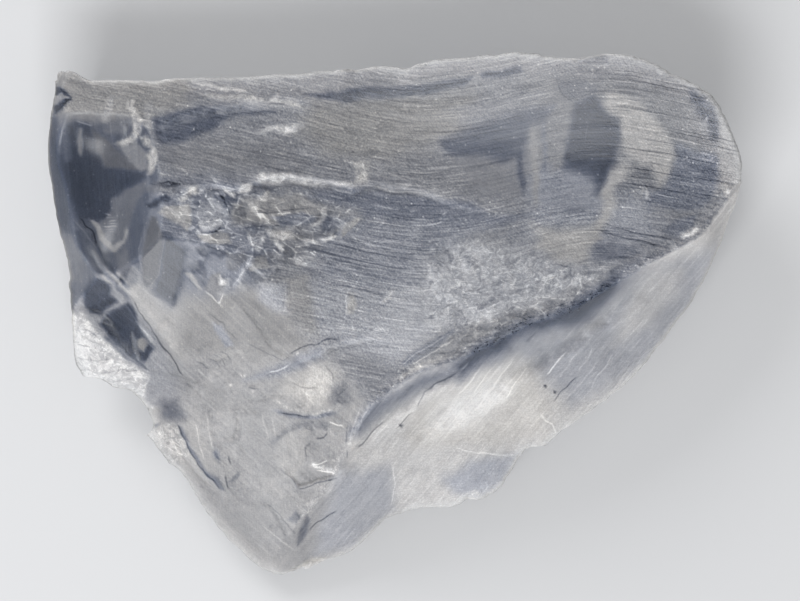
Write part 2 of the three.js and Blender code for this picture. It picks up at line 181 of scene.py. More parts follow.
# %% The crest, as points x, y, height, and the hollow face behind it
CREST = [
    (34.7, 13.6, 11.0), (30.6, 8.1, 12.9), (26.6, 5.8, 14.5), (22.0, 3.2, 16.1), (18.4, 1.1, 17.0),
    (14.0, -0.6, 17.7), (10.0, -2.7, 18.0), (6.0, -4.4, 18.0), (2.5, -5.6, 17.6), (-1.0, -8.0, 16.3),
]
CREST_TAIL = [(-3.2, -11.5, 14.0), (-5.0, -15.4, 11.3), (-7.5, -18.9, 8.3), (-9.5, -21.9, 5.6)]
BOWL = CREST + [
    (-33.4, 24.1, 10.8), (-23.4, 23.4, 12.0), (-9.4, 24.2, 12.4), (5.6, 25.6, 13.1), (16.6, 25.9, 13.7),
    (24.6, 25.6, 13.5), (30.6, 22.6, 12.3), (34.1, 17.1, 11.3), (-19.4, 15.6, 12.6), (-15.4, 18.6, 11.7),
    (-4.4, 18.6, 11.2), (5.6, 18.6, 10.6), (14.6, 19.6, 11.3), (22.6, 17.6, 10.9), (28.6, 14.6, 10.3),
    (8.6, 13.6, 9.9), (16.6, 14.1, 9.9), (20.6, 9.6, 10.8), (26.6, 10.1, 11.7), (3.6, 10.1, 10.1),
    (12.6, 6.6, 11.8), (5.6, 3.6, 13.3), (-1.4, 5.6, 12.0), (0.6, -1.4, 15.2), (-6.4, 3.6, 13.6),
    (-15.4, 7.6, 14.9), (-9.4, -1.4, 14.9),
]

# %% The bevel in front of the crest
BEVEL = CREST + CREST_TAIL + [
    (31.8, 6.8, 9.9), (29.6, 4.6, 9.4), (25.6, 2.1, 10.6), (20.6, -0.9, 11.7), (15.1, -3.9, 12.6),
    (10.6, -6.9, 12.4), (5.6, -9.4, 11.7), (1.6, -12.4, 10.6), (-1.4, -16.4, 8.5), (-4.4, -20.4, 6.0),
    (26.1, -1.4, 7.4), (20.6, -5.9, 7.9), (14.6, -9.4, 8.2), (8.6, -13.4, 7.1), (3.6, -16.4, 6.0),
    (-0.4, -18.4, 5.3), (33.4, 8.7, 8.5), (31.2, 3.6, 6.7), (27.9, -1.4, 5.5), (24.4, -5.4, 4.9),
    (19.6, -9.4, 4.5), (15.4, -13.0, 4.4), (12.6, -13.9, 4.1), (10.6, -17.2, 3.4), (7.6, -18.7, 3.2),
    (2.6, -19.5, 3.2), (-0.6, -20.4, 3.2), (-3.6, -23.1, 3.0), (-6.6, -24.6, 2.8), (-9.4, -25.2, 2.6),
    (-11.9, -26.2, 2.5), (20.6, 9.6, 23.0), (5.6, 3.6, 25.3), (-6.4, -6.4, 23.0), (30.6, 16.6, 19.5),
    (-13.4, -16.4, 16.1),
]

# %% The lower faces
SLOPE = [
    (-24.4, 7.6, 14.3), (-19.4, 6.6, 14.7), (-14.4, 2.6, 14.5), (-9.4, -2.4, 14.5), (-4.9, -8.4, 14.3),
    (-4.9, -12.4, 13.3), (-6.4, -16.4, 10.6), (-9.4, -20.4, 7.1), (-24.4, -0.4, 10.8), (-19.4, -3.4, 10.8),
    (-14.4, -8.4, 10.6), (-9.4, -12.4, 10.3), (-19.4, -11.4, 8.5), (-14.4, -16.4, 7.8), (-10.4, -18.4, 7.4),
    (-13.4, -22.4, 4.8), (-32.1, -4.9, 6.4), (-28.4, -7.2, 6.2), (-25.4, -8.4, 6.0), (-24.4, -10.4, 5.8),
    (-24.6, -12.2, 5.3), (-21.4, -15.4, 4.6), (-18.9, -19.9, 3.7), (-15.9, -23.4, 3.0), (-11.9, -26.2, 2.5),
    (-29.4, 6.6, 12.9), (-29.4, 1.6, 11.0), (-32.2, -1.4, 8.5), (0.6, 1.6, 23.0), (-14.4, 18.6, 21.8),
    (5.6, -13.4, 20.7),
]

# %% The clear window and the left edge
WINDOW = [
    (-29.4, 19.8, 11.3), (-29.6, 17.7, 9.3), (-31.7, 17.3, 9.3), (-24.4, 18.6, 12.4), (-28.9, 13.6, 8.5),
    (-27.4, 9.6, 9.4), (-23.9, 12.1, 12.9), (-28.2, 6.0, 10.8), (-32.8, 18.6, 10.3), (-32.4, 11.6, 9.9),
    (-31.4, 7.6, 9.7), (-19.4, 15.6, 17.2), (-23.4, 3.6, 17.2), (-30.4, 1.6, 13.8), (-31.4, 23.6, 13.8),
]
LEFT_EDGE = [
    (-33.4, 22.1, 10.8), (-33.0, 16.6, 10.6), (-32.4, 11.6, 10.1), (-31.6, 6.6, 9.9), (-30.8, 2.6, 9.5),
    (-31.4, 0.0, 8.7), (-33.8, 23.6, 9.4), (-34.4, 19.6, 8.7), (-34.8, 16.6, 8.0), (-33.8, 11.1, 7.4),
    (-32.8, 5.6, 6.9), (-32.4, -0.4, 6.3), (-32.1, -4.9, 5.8), (-27.4, 21.6, 17.2), (-26.4, 11.6, 18.4),
    (-26.4, 1.6, 17.2),
]

# %% The broken corner: a steep face and a low shelf
CORNER_FACE = [
    (-30.6, 3.0, 10.6), (-26.4, 1.6, 11.0), (-23.4, -1.9, 10.1), (-21.2, -5.6, 8.7), (-31.0, 0.2, 6.4),
    (-27.9, -2.9, 6.4), (-24.6, -6.0, 6.0), (-24.4, 1.6, 14.9), (-20.4, -2.4, 13.8), (-32.4, 1.6, 8.0),
]
CORNER_SHELF = [
    (-31.0, 0.2, 7.1), (-24.6, -6.0, 6.2), (-32.1, -1.4, 6.7), (-32.1, -4.9, 5.3), (-28.4, -7.2, 5.1),
    (-25.4, -8.4, 5.1), (-28.4, -3.4, 6.4), (-26.4, -0.4, 7.6), (-24.4, -10.4, 7.0), (-19.0, -19.0, 13.0),
]


# %% A sheet through points
def thin_plate(points):
    """The sheet through the points: a plane plus, for each point, a weight times r * r * ln r."""
    pins = np.array(points, float)
    count = len(pins)

    def bending(px, py):
        square = (px[..., None] - pins[:, 0]) ** 2 + (py[..., None] - pins[:, 1]) ** 2
        return 0.5 * square * np.log(np.maximum(square, 1e-12))

    system = np.zeros((count + 3, count + 3))
    system[:count, :count] = bending(pins[:, 0], pins[:, 1])
    system[:count, count:] = np.c_[np.ones(count), pins[:, :2]]
    system[count:, :count] = system[:count, count:].T
    weights = np.linalg.solve(system, np.r_[pins[:, 2], np.zeros(3)])
    level, slope_x, slope_y = weights[count:]
    return lambda px, py: bending(px, py) @ weights[:count] + level + slope_x * px + slope_y * py


# %% [markdown]
# ## Ribs on the cracks
# A crack that runs fast leaves fine ribs along its way, and slow waves across it. A bump map could draw them
# all, but it leaves the crests straight, so the larger ones are in the mesh. Each crack has its own flow,
# given by two numbers at every place: how far across the flow it lies, and how far along.

# %% Flow of each crack
FLOW_REACH = np.linspace(-40, 40, 161)
FLOW_PLACES = [-40, -22, -9.4, 0.6, 4.6, 10.6, 16.6, 20.6, 27.6, 34.6, 40]
FLOW_HEIGHTS = [8.0, 4.6, 1.8, -0.5, -0.6, 0.3, 1.9, 2.4, 1.2, -0.4, -1.8]
SMOOTHING = 13  # places whose mean makes the flow smooth
FLOW_LEVEL = np.interp(FLOW_REACH, FLOW_PLACES, FLOW_HEIGHTS)
FLOW_LEVEL = np.convolve(np.pad(FLOW_LEVEL, SMOOTHING // 2, "edge"), np.ones(SMOOTHING) / SMOOTHING, "valid")
FLOW_SLOPE = np.gradient(FLOW_LEVEL, FLOW_REACH)


def bowl_flow(px, py):
    """The flow of the hollow face sinks, rises and sinks again from left to right. Also gives its angle."""
    turn = np.degrees(np.arctan(np.interp(px, FLOW_REACH, FLOW_SLOPE)))
    return py - np.interp(px, FLOW_REACH, FLOW_LEVEL), px, turn


def ribs(across, along, spacing, length, seed):
    """Ribs a spacing apart that each run on for about a length: noise squeezed across the flow."""
    return rough_noise(across / spacing, along / length, seed, 2)


# %% Small helpers for lines and patches
def by_line(px, py, line):
    """For each place: the distance to the line of points, the side (over 0 is right of travel), and the third
    value of the points there."""
    best = np.full(px.shape, np.inf)
    side = np.zeros(px.shape)
    value = np.zeros(px.shape)
    for (ax, ay, av), (bx, by, bv) in zip(line[:-1], line[1:]):
        dx, dy = bx - ax, by - ay
        share = np.clip(((px - ax) * dx + (py - ay) * dy) / (dx * dx + dy * dy), 0, 1)
        distance = np.hypot(px - ax - share * dx, py - ay - share * dy)
        nearer = distance < best
        best = np.where(nearer, distance, best)
        side = np.where(nearer, (px - ax) * dy - (py - ay) * dx, side)
        value = np.where(nearer, av + (bv - av) * share, value)
    return best, side, value


def in_patch(px, py, corners, soft):
    """1 inside the corners, 0 outside, easing over a soft width on each side of the edge."""
    closed = [(*c, 0) for c in corners + corners[:1]]
    distance, _, _ = by_line(px, py, closed)
    inside = np.zeros(px.shape, bool)
    for (ax, ay, _), (bx, by, _) in zip(closed[:-1], closed[1:]):
        crosses = (ay > py) != (by > py)
        with np.errstate(divide="ignore", invalid="ignore"):
            inside ^= crosses & (px < ax + (py - ay) / (by - ay) * (bx - ax))
    return ease(0.5 + np.where(inside, distance, -distance) / (2 * soft))


# %% [markdown]
# ## Steps, grooves and facets
# Where a crack changed level it left a step, and along the crest there are two grooves. Cuts with other
# solids could make them, but they leave long thin triangles, so each is an amount taken off the height. The
# rough zones are made of facets: small tilted faces about as wide as a splinter, each with its own level, so
# that crisp low walls stand between them, as they do where a brittle crystal was torn rather than split.

# %% Steps: wall width, reach, and points x, y, drop. The ground to the right of travel is lower
STEPS = [
    (0.6, 9, [(-23.8, 13.4, 0), (-20.4, 12.9, 0.4), (-15.9, 12.9, 0.7), (-11.9, 13.8, 0.9),
        (-7.4, 13.5, 0.9), (-4.2, 12.6, 0.6), (-1.6, 13.2, 0.4), (2.6, 12.6, 0.35), (7.6, 11.0, 0.25),
        (12.6, 10.6, 0.15), (16.6, 10.2, 0)]),
    (1.2, 7, [(-26.0, 19.0, 0), (-24.4, 19.1, 0.2), (-22.2, 19.8, 0.5), (-17.9, 21.0, 0.5),
        (-14.9, 21.2, 0.4), (-10.4, 21.8, 0.3), (-8.4, 21.9, 0)]),
    (1.0, 2.6, [(-9.4, 21.9, 0), (0.6, 22.3, 0.25), (7.6, 23.0, 0.25), (12.6, 24.0, 0.2), (15.1, 24.8, 0)]),
    (0.35, 5, [(-15.4, 1.3, 0), (-13.2, -0.9, 0.3), (-11.8, -3.1, 0.35), (-9.4, -4.3, 0.4),
        (-7.4, -3.7, 0.35), (-4.9, -2.5, 0.3), (-2.2, -2.2, 0.25), (0.8, -3.1, 0)]),
    (0.4, 3, [(-3.9, 10.1, 0), (-5.9, 7.6, 0.5), (-9.4, 7.3, 0.5), (-13.2, 8.0, 0)]),
    (0.3, 3, [(-4.9, -15.4, 0), (-6.9, -16.6, 0.6), (-9.4, -17.1, 0.6), (-11.4, -15.4, 0)]),
    (0.4, 4, [(-23.6, -10.2, 0), (-21.9, -12.2, 0.5), (-20.4, -14.9, 0.6), (-17.9, -17.0, 0.4),
        (-16.8, -17.6, 0)]),
    (0.5, 6, [(-12.6, -18.4, 0), (-10.9, -21.2, 0.35), (-9.7, -24.0, 0)]),
    (0.5, 5, [(-25.9, 5.4, 0), (-27.4, 3.1, 0.5), (-25.4, 0.4, 0.6), (-21.9, -3.6, 0.5), (-19.4, -7.2, 0.3),
        (-17.6, -10.4, 0)]),
]

# %% Grooves: half width, and points x, y, depth
GROOVES = [
    (1.6, [(-4.2, -13.9, 0), (-2.2, -10.9, 0.9), (0.6, -8.6, 1.1), (4.6, -6.2, 1.0), (8.8, -4.0, 0.6),
        (11.1, -3.2, 0)]),
    (2.2, [(-5.9, -15.9, 0), (-1.9, -13.0, 0.5), (3.6, -10.4, 1.0), (8.6, -7.4, 1.3), (12.6, -4.8, 1.5),
        (16.6, -2.4, 1.7), (20.6, 0.4, 1.6), (24.6, 3.1, 1.2), (28.6, 5.4, 0.6), (30.6, 6.6, 0)]),
]


def step_cut(px, py):
    """Each step drops over its wall and comes back over its reach."""
    cut = np.zeros(px.shape)
    for wall, reach, line in STEPS:
        distance, side, drop = by_line(px, py, line)
        cut += np.where(side > 0, drop * ease(distance / wall) * (1 - ease(distance / reach)), 0)
    return cut


def groove_cut(px, py):
    """Each groove is its depth at its line and eases to nothing at its half width."""
    cut = np.zeros(px.shape)
    for half_width, line in GROOVES:
        distance, _, depth = by_line(px, py, line)
        cut += depth * (1 - ease(distance / half_width))
    return cut


# %% Facets
RIPPLE_SPACING = 2.4  # millimetres from arc to arc on a hollow face
FACET_CELLS = 64  # after so many cells the facets repeat
JITTER = 0.36  # how far a seed strays from the middle of its cell, as a share of the cell
GLINT_WIDTH, GLINT_DROP = 0.4, 0.15  # millimetres along an edge, and between its two levels


def facets(u, v, size, lift, tilt, hollow, wall, turn, stretch, seed, around=None, ripple=0):
    """Splinter faces: every place belongs to the nearest of many jittered seeds, and takes that seed's tilted
    hollow: -lift * level + lean . offset + hollow * distance squared. Across an edge it eases to the next
    face over the wall width. Returns the height, a number from -1 to 1 that is one value for each face, and
    how much of an edge between uneven faces is here, which is drawn as a painted glint. around: the length
    after which the pattern must close on itself. ripple: the height of the arcs, a wave of the distance that
    grows away from the middle."""
    cos, sin = math.cos(math.radians(turn)), math.sin(math.radians(turn))
    long_side = size * stretch
    cells = FACET_CELLS
    if around:
        cells = round(around / long_side)
        long_side = around / cells
    p, q = (u * cos + v * sin) / long_side, (v * cos - u * sin) / size
    column, row = np.floor(p).astype(int), np.floor(q).astype(int)
    draws = np.random.default_rng(seed).uniform(-1, 1, (cells, FACET_CELLS, 6))
    best, second = np.full(p.shape, np.inf), np.full(p.shape, np.inf)
    best_height, second_height = np.zeros(p.shape), np.zeros(p.shape)
    best_shade, second_shade = np.zeros(p.shape), np.zeros(p.shape)
    for dc, dr in np.ndindex(3, 3):
        c, r = column + dc - 1, row + dr - 1
        stray_p, stray_q, lean_p, lean_q, level, shade = draws[c % cells, r % FACET_CELLS].transpose(2, 0, 1)
        off_p, off_q = p - c - 0.5 - JITTER * stray_p, q - r - 0.5 - JITTER * stray_q
        distance = np.hypot(off_p, off_q)
        lean = tilt * (lean_p * off_p * long_side + lean_q * off_q * size)
        height = lift * (level - 1) / 2 + lean + hollow * distance**2
        height += ripple * distance * np.sin(2 * math.pi * distance * size / RIPPLE_SPACING)
        closer, next_closer = distance < best, distance < second
        second = np.where(closer, best, np.where(next_closer, distance, second))
        second_height = np.where(closer, best_height, np.where(next_closer, height, second_height))
        second_shade = np.where(closer, best_shade, np.where(next_closer, shade, second_shade))
        best = np.where(closer, distance, best)
        best_height = np.where(closer, height, best_height)
        best_shade = np.where(closer, shade, best_shade)
    share = 0.5 + 0.5 * ease((second - best) * size / wall)
    height = best_height * share + second_height * (1 - share)
    uneven = ease(abs(best_height - second_height) / GLINT_DROP - 0.2)
    glint = (1 - ease((second - best) * size / GLINT_WIDTH)) * uneven
    return height, best_shade * share + second_shade * (1 - share), glint


# %% [markdown]
# ## Marks
# Inside the stone there are clear parts and cloudy parts. Where it is clear you look down into the dark, and
# where cracks and tiny bubbles scatter the light it is milky, up to the white of a crushed corner. An image
# could carry all this, but it has to be unwrapped onto the stone, and it blurs when the camera comes near.
# So each mark is an area or a line with a tone: milkiness from 0 (clear) to 1 (crushed white) and warmth
# from 0 (blue) to 1 (cream). Each mark takes one of seventeen tones, as a painter takes a colour from a
# small box. Many marks also paint light and shade into the milkiness: the glow of the bevel where light
# passes through, painted shade under the top left block and below the long step, the painted sheen and dark
# reflections of the lobes, and the lit crescents, dark hollows and glints of chips. A mark can also lie
# deeper than the ground round it, because a face that broke off further down is often the clearer one.
# Marks are laid in order, so a later one covers an earlier one.

# %% Tones of the stone: milkiness, warmth
INK = (0.04, 0.0)  # looking down into clear stone
DEEP = (0.11, 0.0)
SLATE = (0.27, 0.1)
BROWN = (0.28, 0.6)
SMOKE = (0.36, 0.4)
STEEL = (0.43, 0.1)
GREY = (0.47, 0.55)
BEIGE = (0.52, 0.8)
MIST = (0.56, 0.15)
ASH = (0.59, 0.65)
LILAC = (0.66, 0.25)
PEARL = (0.67, 0.7)
ICE = (0.70, 0.05)
MILK = (0.76, 0.5)
CREAM = (0.80, 0.8)
# WHITE also draws painted glints and partly painted highlights; SNOW is a painted highlight on loose flakes,
# and the brightest painted glow of the bevel
WHITE = (0.82, 0.5)  # crushed along an edge
SNOW = (0.95, 0.5)  # a loose flake that catches the light
# How much a hairline adds to the milkiness
DARK, DIM, PALE, BRIGHT = -0.28, -0.15, 0.12, 0.28

# %% Washes: tone, softness of the edge, drop, corners x, y
WASHES = [
    # washes over the hollow face; the beige and grey bands at the top are partly milk and partly painted
    # sheen
    (BEIGE, 1.2, 0, [(-34, 25), (-20, 25), (-20, 20.8), (-24, 20.2), (-25, 19.5), (-30, 19.4),
        (-34, 19.8)]),
    (GREY, 0.8, 0, [(-20, 25), (13, 27.5), (14, 24.8), (7, 23.4), (0, 22.9), (-9, 22), (-20, 21.6)]),
    (GREY, 1.5, 0, [(-23.5, 17.4), (-10, 17.6), (-9, 14.4), (-14, 14.2), (-22, 13.6)]),
    (BEIGE, 1.6, 0, [(-8, 21.6), (8, 22), (5, 17.4), (0, 15.4), (-6, 15.6), (-10, 18.2)]),
    (GREY, 1.4, 0, [(2, 15.8), (11, 15.4), (13, 12), (4, 12.4), (-1.6, 14.2)]),
    (MIST, 2.0, 0, [(-8, 8.6), (6, 8.6), (5, 2), (-3, 1), (-8, 3)]),
    (LILAC, 1.2, 0, [(-8.4, 3.4), (3, 3), (3.6, -2), (0.4, -4.6), (-5, -3), (-8.2, -1.4)]),
    (LILAC, 1.4, 0, [(2.6, 6), (6, 8.2), (17, 5.4), (20, 4.4), (16, 1.2), (5, -2.4), (2.4, 0)]),
    (GREY, 0.9, 0, [(4, -2.4), (16, 1.6), (24.4, 6), (24.6, 5), (16, -0.4), (6, -4.4), (1, -6)]),
    (GREY, 2.0, 0, [(13, 25), (30, 24), (33, 16), (24, 13), (14, 14)]),
    (MIST, 2.0, 0, [(14, 12), (24, 12), (28, 8), (20, 5), (12, 8)]),
    (STEEL, 1.6, 0, [(-25, 13.6), (-14, 13.4), (-9, 11), (-14, 3), (-22, 1), (-26.4, 5)]),
    # washes over the lower faces
    (BEIGE, 1.6, 0, [(-21, 2), (-10, 3), (-9, -3), (-14, -4), (-22, -4)]),
    (ASH, 1.6, 0, [(-22.6, -4), (-14, -4.6), (-5, -9), (-4.6, -16), (-9, -19), (-18, -14)]),
    (ASH, 1.6, 0, [(-17, -15), (-10, -18), (-4, -17), (0.6, -20), (-10, -27), (-22, -18)]),
]

# %% The dark window, the facets in it, and the white flaws beside it
WINDOW_AREAS = [
    (DEEP, 0.5, 0, [(-34, 20), (-33.6, 19.4), (-33.4, 16), (-32.8, 13.2), (-32.2, 10.4), (-32.4, 8),
        (-34, 9), (-35, 14), (-35, 18)]),
    (DEEP, 0.3, 0, [(-32.6, 19.1), (-31.6, 19.5), (-30.4, 19.1), (-30, 18.4), (-29.8, 16.6), (-29, 15),
        (-27.2, 14.8), (-25.4, 14.3), (-24.6, 13.8), (-26.2, 13.1), (-27.6, 12.6), (-28.4, 11.8),
        (-28, 10.6), (-29, 9.6), (-30.2, 9.6), (-31.6, 9.8), (-32.2, 11), (-33, 13.8), (-33.5, 16),
        (-33, 17.4)]),
    (SLATE, 0.3, 0, [(-33.4, 18.8), (-32.6, 18.7), (-32.2, 17.4), (-32.2, 15.6), (-33, 15.4),
        (-33.4, 16.8)]),
    (GREY, 0.12, 0, [(-31.5, 18.7), (-31.1, 18.7), (-31, 17.4), (-31, 16.2), (-31.3, 15.9), (-31.5, 17)]),
    (BROWN, 0.2, 0, [(-30.2, 18.6), (-29.2, 18), (-28, 16.8), (-26.4, 15.6), (-25.2, 14.5), (-27, 14.8),
        (-29, 15), (-29.8, 16.6)]),
    (SMOKE, 0.2, 0, [(-28.4, 11.9), (-27.2, 12.6), (-25.4, 13.3), (-24.4, 13.4), (-25, 12), (-25.8, 10.6),
        (-26.3, 9), (-26.8, 7.6), (-27.9, 6.6), (-28.8, 7.2), (-29.6, 8), (-30, 9.2), (-29, 9.8),
        (-28.2, 10.6)]),
    (ASH, 0.12, -0.05, [(-30.6, 9.7), (-29.9, 9.5), (-28.6, 7.7), (-27.9, 7.1), (-27, 7.6), (-26.7, 8.8),
        (-26.4, 8.6), (-26.8, 7.2), (-27.8, 6.5), (-28.8, 7)]),
    (SLATE, 0.25, 0.15, [(-25.9, 10.4), (-24.9, 12.3), (-24.1, 12.4), (-24.4, 10.6), (-24.7, 8.6),
        (-25.3, 6.8), (-25.3, 5), (-26.2, 5.8), (-26.5, 7.4)]),
    (SMOKE, 0.3, 0, [(-27.9, 6.4), (-26.6, 7), (-25.8, 5.8), (-25.6, 3.4), (-26.6, 3), (-27.4, 4.6)]),
    (SLATE, 0.2, 0.12, [(-32.3, 9.6), (-31.5, 8.6), (-30.7, 6.8), (-30.3, 5), (-31, 5.2), (-31.8, 7.4)]),
    (SMOKE, 0.3, 0, [(-33.3, 9), (-32.3, 8), (-31.4, 6.6), (-30.9, 5.2), (-31.2, 3.4), (-33, 3.6)]),
    (INK, 0.12, 0.15, [(-33.9, 23), (-32.6, 22), (-32.2, 21.4), (-33.1, 20.5), (-33.8, 20.1), (-34.2, 21)]),
    (GREY, 0.10, -0.1, [(-34, 21.9), (-33.3, 22), (-32.4, 21.6), (-33.2, 21.2), (-34, 21.1)]),
    # painted shade under the top left block, and the white flaws beside it
    (SLATE, 0.4, 0.06, [(-24, 19.8), (-20, 20.6), (-17.6, 20.9), (-12, 20.6), (-11.6, 20.3), (-16.6, 19.8),
        (-18.2, 18.6), (-21, 17.5), (-23.2, 17.2)]),
    (SMOKE, 0.2, 0.08, [(-29.2, 18.6), (-28, 19.3), (-26.2, 19.6), (-26.3, 18.8), (-27.2, 18.2),
        (-28.6, 18.3)]),
    (ASH, 0.3, 0, [(-28.4, 21.9), (-27.7, 21.9), (-28.1, 20.2), (-28.7, 19.3), (-29.2, 19.6)]),
    (PEARL, 0.14, -0.05, [(-26.5, 21.6), (-25.7, 21.5), (-25.6, 20.6), (-25, 19.7), (-25.1, 18.6),
        (-25.9, 17.5), (-27, 17), (-28.1, 17.3), (-27.6, 17.7), (-26.6, 18), (-26, 18.8), (-25.9, 19.8),
        (-26.4, 20.6)]),
    (ASH, 0.2, 0, [(-24.9, 21.3), (-24.1, 21.3), (-24.1, 18.6), (-24.6, 18.9), (-24.9, 20)]),
    (GREY, 0.2, 0, [(-27.8, 17.1), (-25.8, 17.6), (-25.2, 17), (-24.5, 16.2), (-24.4, 14.6), (-25.2, 14.4),
        (-26.4, 15.4)]),
    (PEARL, 0.14, -0.05, [(-25.4, 18), (-24.4, 18.2), (-23.9, 17.5), (-23.4, 16.4), (-23.4, 15.3),
        (-24, 14.1), (-24.4, 14.2), (-24.3, 15.2), (-24.6, 16), (-24.2, 16.8), (-24.9, 17)]),
    (WHITE, 0.3, 0, [(-13.5, 18), (-11.9, 18.9), (-10, 19.1), (-9, 18.7), (-10, 18.2), (-12.4, 18.2)]),
]

# %% Dark bands and lobes of the hollow face, which are painted reflections of dark and bright surroundings, and the ground below the long step with its painted shade
BOWL_AREAS = [
    (DEEP, 0.35, 0.05, [(-8.9, 22.1), (-4, 22.5), (0, 22.8), (4, 23.3), (7.8, 23.7), (7, 22.9), (3, 22.2),
        (0, 21.7), (-5, 21.4)]),
    (DEEP, 0.3, 0.03, [(8.6, 23.9), (10.4, 24.3), (12.4, 24.8), (12.6, 24.4), (10.6, 23.7), (9, 23.5)]),
    (SLATE, 0.6, 0.03, [(4.8, 17.6), (9.8, 19.4), (13.8, 20.8), (15.8, 21.2), (15.4, 19.8), (13.4, 18.6),
        (13, 16), (11, 15.4), (8, 16), (5, 16.2)]),
    (DEEP, 0.5, 0.04, [(18, 21.1), (19.9, 22.1), (20.7, 21), (22.2, 19.4), (22.4, 17.4), (22.2, 15.6),
        (21.2, 13.4), (20.2, 11.4), (18.6, 10.4), (17, 10.6), (16.4, 12.6), (16.8, 15.5), (17.4, 17.8),
        (17.8, 19.5)]),
    (MIST, 1.0, 0, [(14.2, 15), (17, 15), (20.6, 14), (20.8, 11), (19, 10.2), (14.4, 10.6), (13.4, 12.6)]),
    (PEARL, 0.4, 0, [(20.7, 21.1), (22.5, 19.6), (22.6, 17.8), (23.2, 16.4), (25.6, 14.8), (26.2, 12.8),
        (27.5, 14.4), (27.9, 17.1), (26.4, 19.2), (23.8, 21.4), (21.4, 22.5)]),
    (STEEL, 0.35, 0.05, [(28.1, 17.2), (31.6, 16.2), (32.3, 16), (32.3, 13.4), (31.6, 11.6), (30.6, 10.6),
        (28.4, 10.4), (25.8, 11), (25.3, 10.4), (24.9, 12), (27, 12.9), (27.7, 14.6)]),
    (DEEP, 0.4, 0.03, [(29.4, 22.8), (30.4, 21.8), (31.8, 20.6), (32.3, 19.2), (32.4, 17.2), (31.6, 17.6),
        (31.2, 19.4), (30.2, 20.3), (29.6, 21.4)]),
    (ASH, 0.4, 0, [(32.4, 20.8), (33.6, 18.6), (34.7, 15), (34.6, 12.8), (33.4, 11.6), (32.4, 12.6),
        (32.4, 17)]),
    (SMOKE, 0.25, 0, [(15.9, 24), (17.2, 23.6), (20.4, 23.2), (20, 22.4), (18.8, 21.9), (17.4, 21.4),
        (16.6, 22.4)]),
    (STEEL, 0.3, 0.25, [(26.8, 8.6), (28.6, 9.5), (30.2, 9.9), (29.8, 8.8), (28.4, 7.7), (27.4, 7.8)]),
    (STEEL, 0.35, 0.15, [(20.2, 7.5), (22, 7.3), (24.8, 6.4), (23.4, 5.7), (21.4, 5.4), (19.6, 5.6),
        (19.4, 6.4)]),
    (PEARL, 0.8, 0, [(13.4, 9.2), (16, 8.6), (19.6, 9), (20, 7.4), (18.6, 5.4), (16, 5.4), (14.4, 6.4)]),
    # below the long step: a band of painted shade, then lighter ground
    (STEEL, 0.45, 0.05, [(-9.8, 12.5), (-4, 12.6), (-0.6, 12.2), (2, 11.9), (7.6, 11.6), (9.8, 10.2),
        (13, 9.9), (10, 8.8), (4, 8.4), (0, 9.2), (-3, 9.9), (-3.4, 10.6), (-6, 11), (-10, 11.6)]),
    (MIST, 1.0, 0, [(-5, 9.8), (4, 9.2), (10, 9), (6, 7.6), (1, 6), (-6, 6)]),
    (ASH, 0.5, 0, [(-15.4, 11.8), (-9, 12.2), (-7, 10.6), (-7, 9.4), (-10, 9), (-15, 9)]),
    # the crest of the long step: crushed white, and partly a painted highlight on its wall
    (MILK, 0.2, -0.12, [(-14.3, 13.5), (-13.2, 14.1), (-11, 14.1), (-9.2, 13.8), (-7.3, 13.4), (-4.2, 13),
        (-4, 12.75), (-7, 12.8), (-9, 13), (-11, 13), (-13.4, 13.1)]),
    (WHITE, 0.2, -0.25, [(-15.7, 12.8), (-15.2, 13.4), (-14.3, 13.3), (-14.1, 12.6), (-14.8, 12.1),
        (-15.5, 12.3)]),
    (PEARL, 0.35, 0, [(-4.1, 15.1), (-3, 15.4), (-2.2, 15.1), (-2.1, 14.4), (-2.7, 13.2), (-4.2, 12.9),
        (-3.7, 13.8), (-3.7, 14.6)]),
    (PEARL, 0.12, -0.10, [(-3.3, 9.9), (-4.6, 9.4), (-5.3, 8.5), (-5.1, 7.7), (-4.4, 8.4), (-3.7, 9.1)]),
    (SNOW, 0.10, -0.12, [(-7.2, 7.5), (-6.3, 8), (-5.5, 7.9), (-5.8, 7.5), (-6.6, 7.3)]),
    (STEEL, 0.12, 0.15, [(-6.9, 10), (-5.4, 9.6), (-5.4, 9), (-6.3, 8.3), (-7.1, 8.3), (-7, 9.2)]),
]

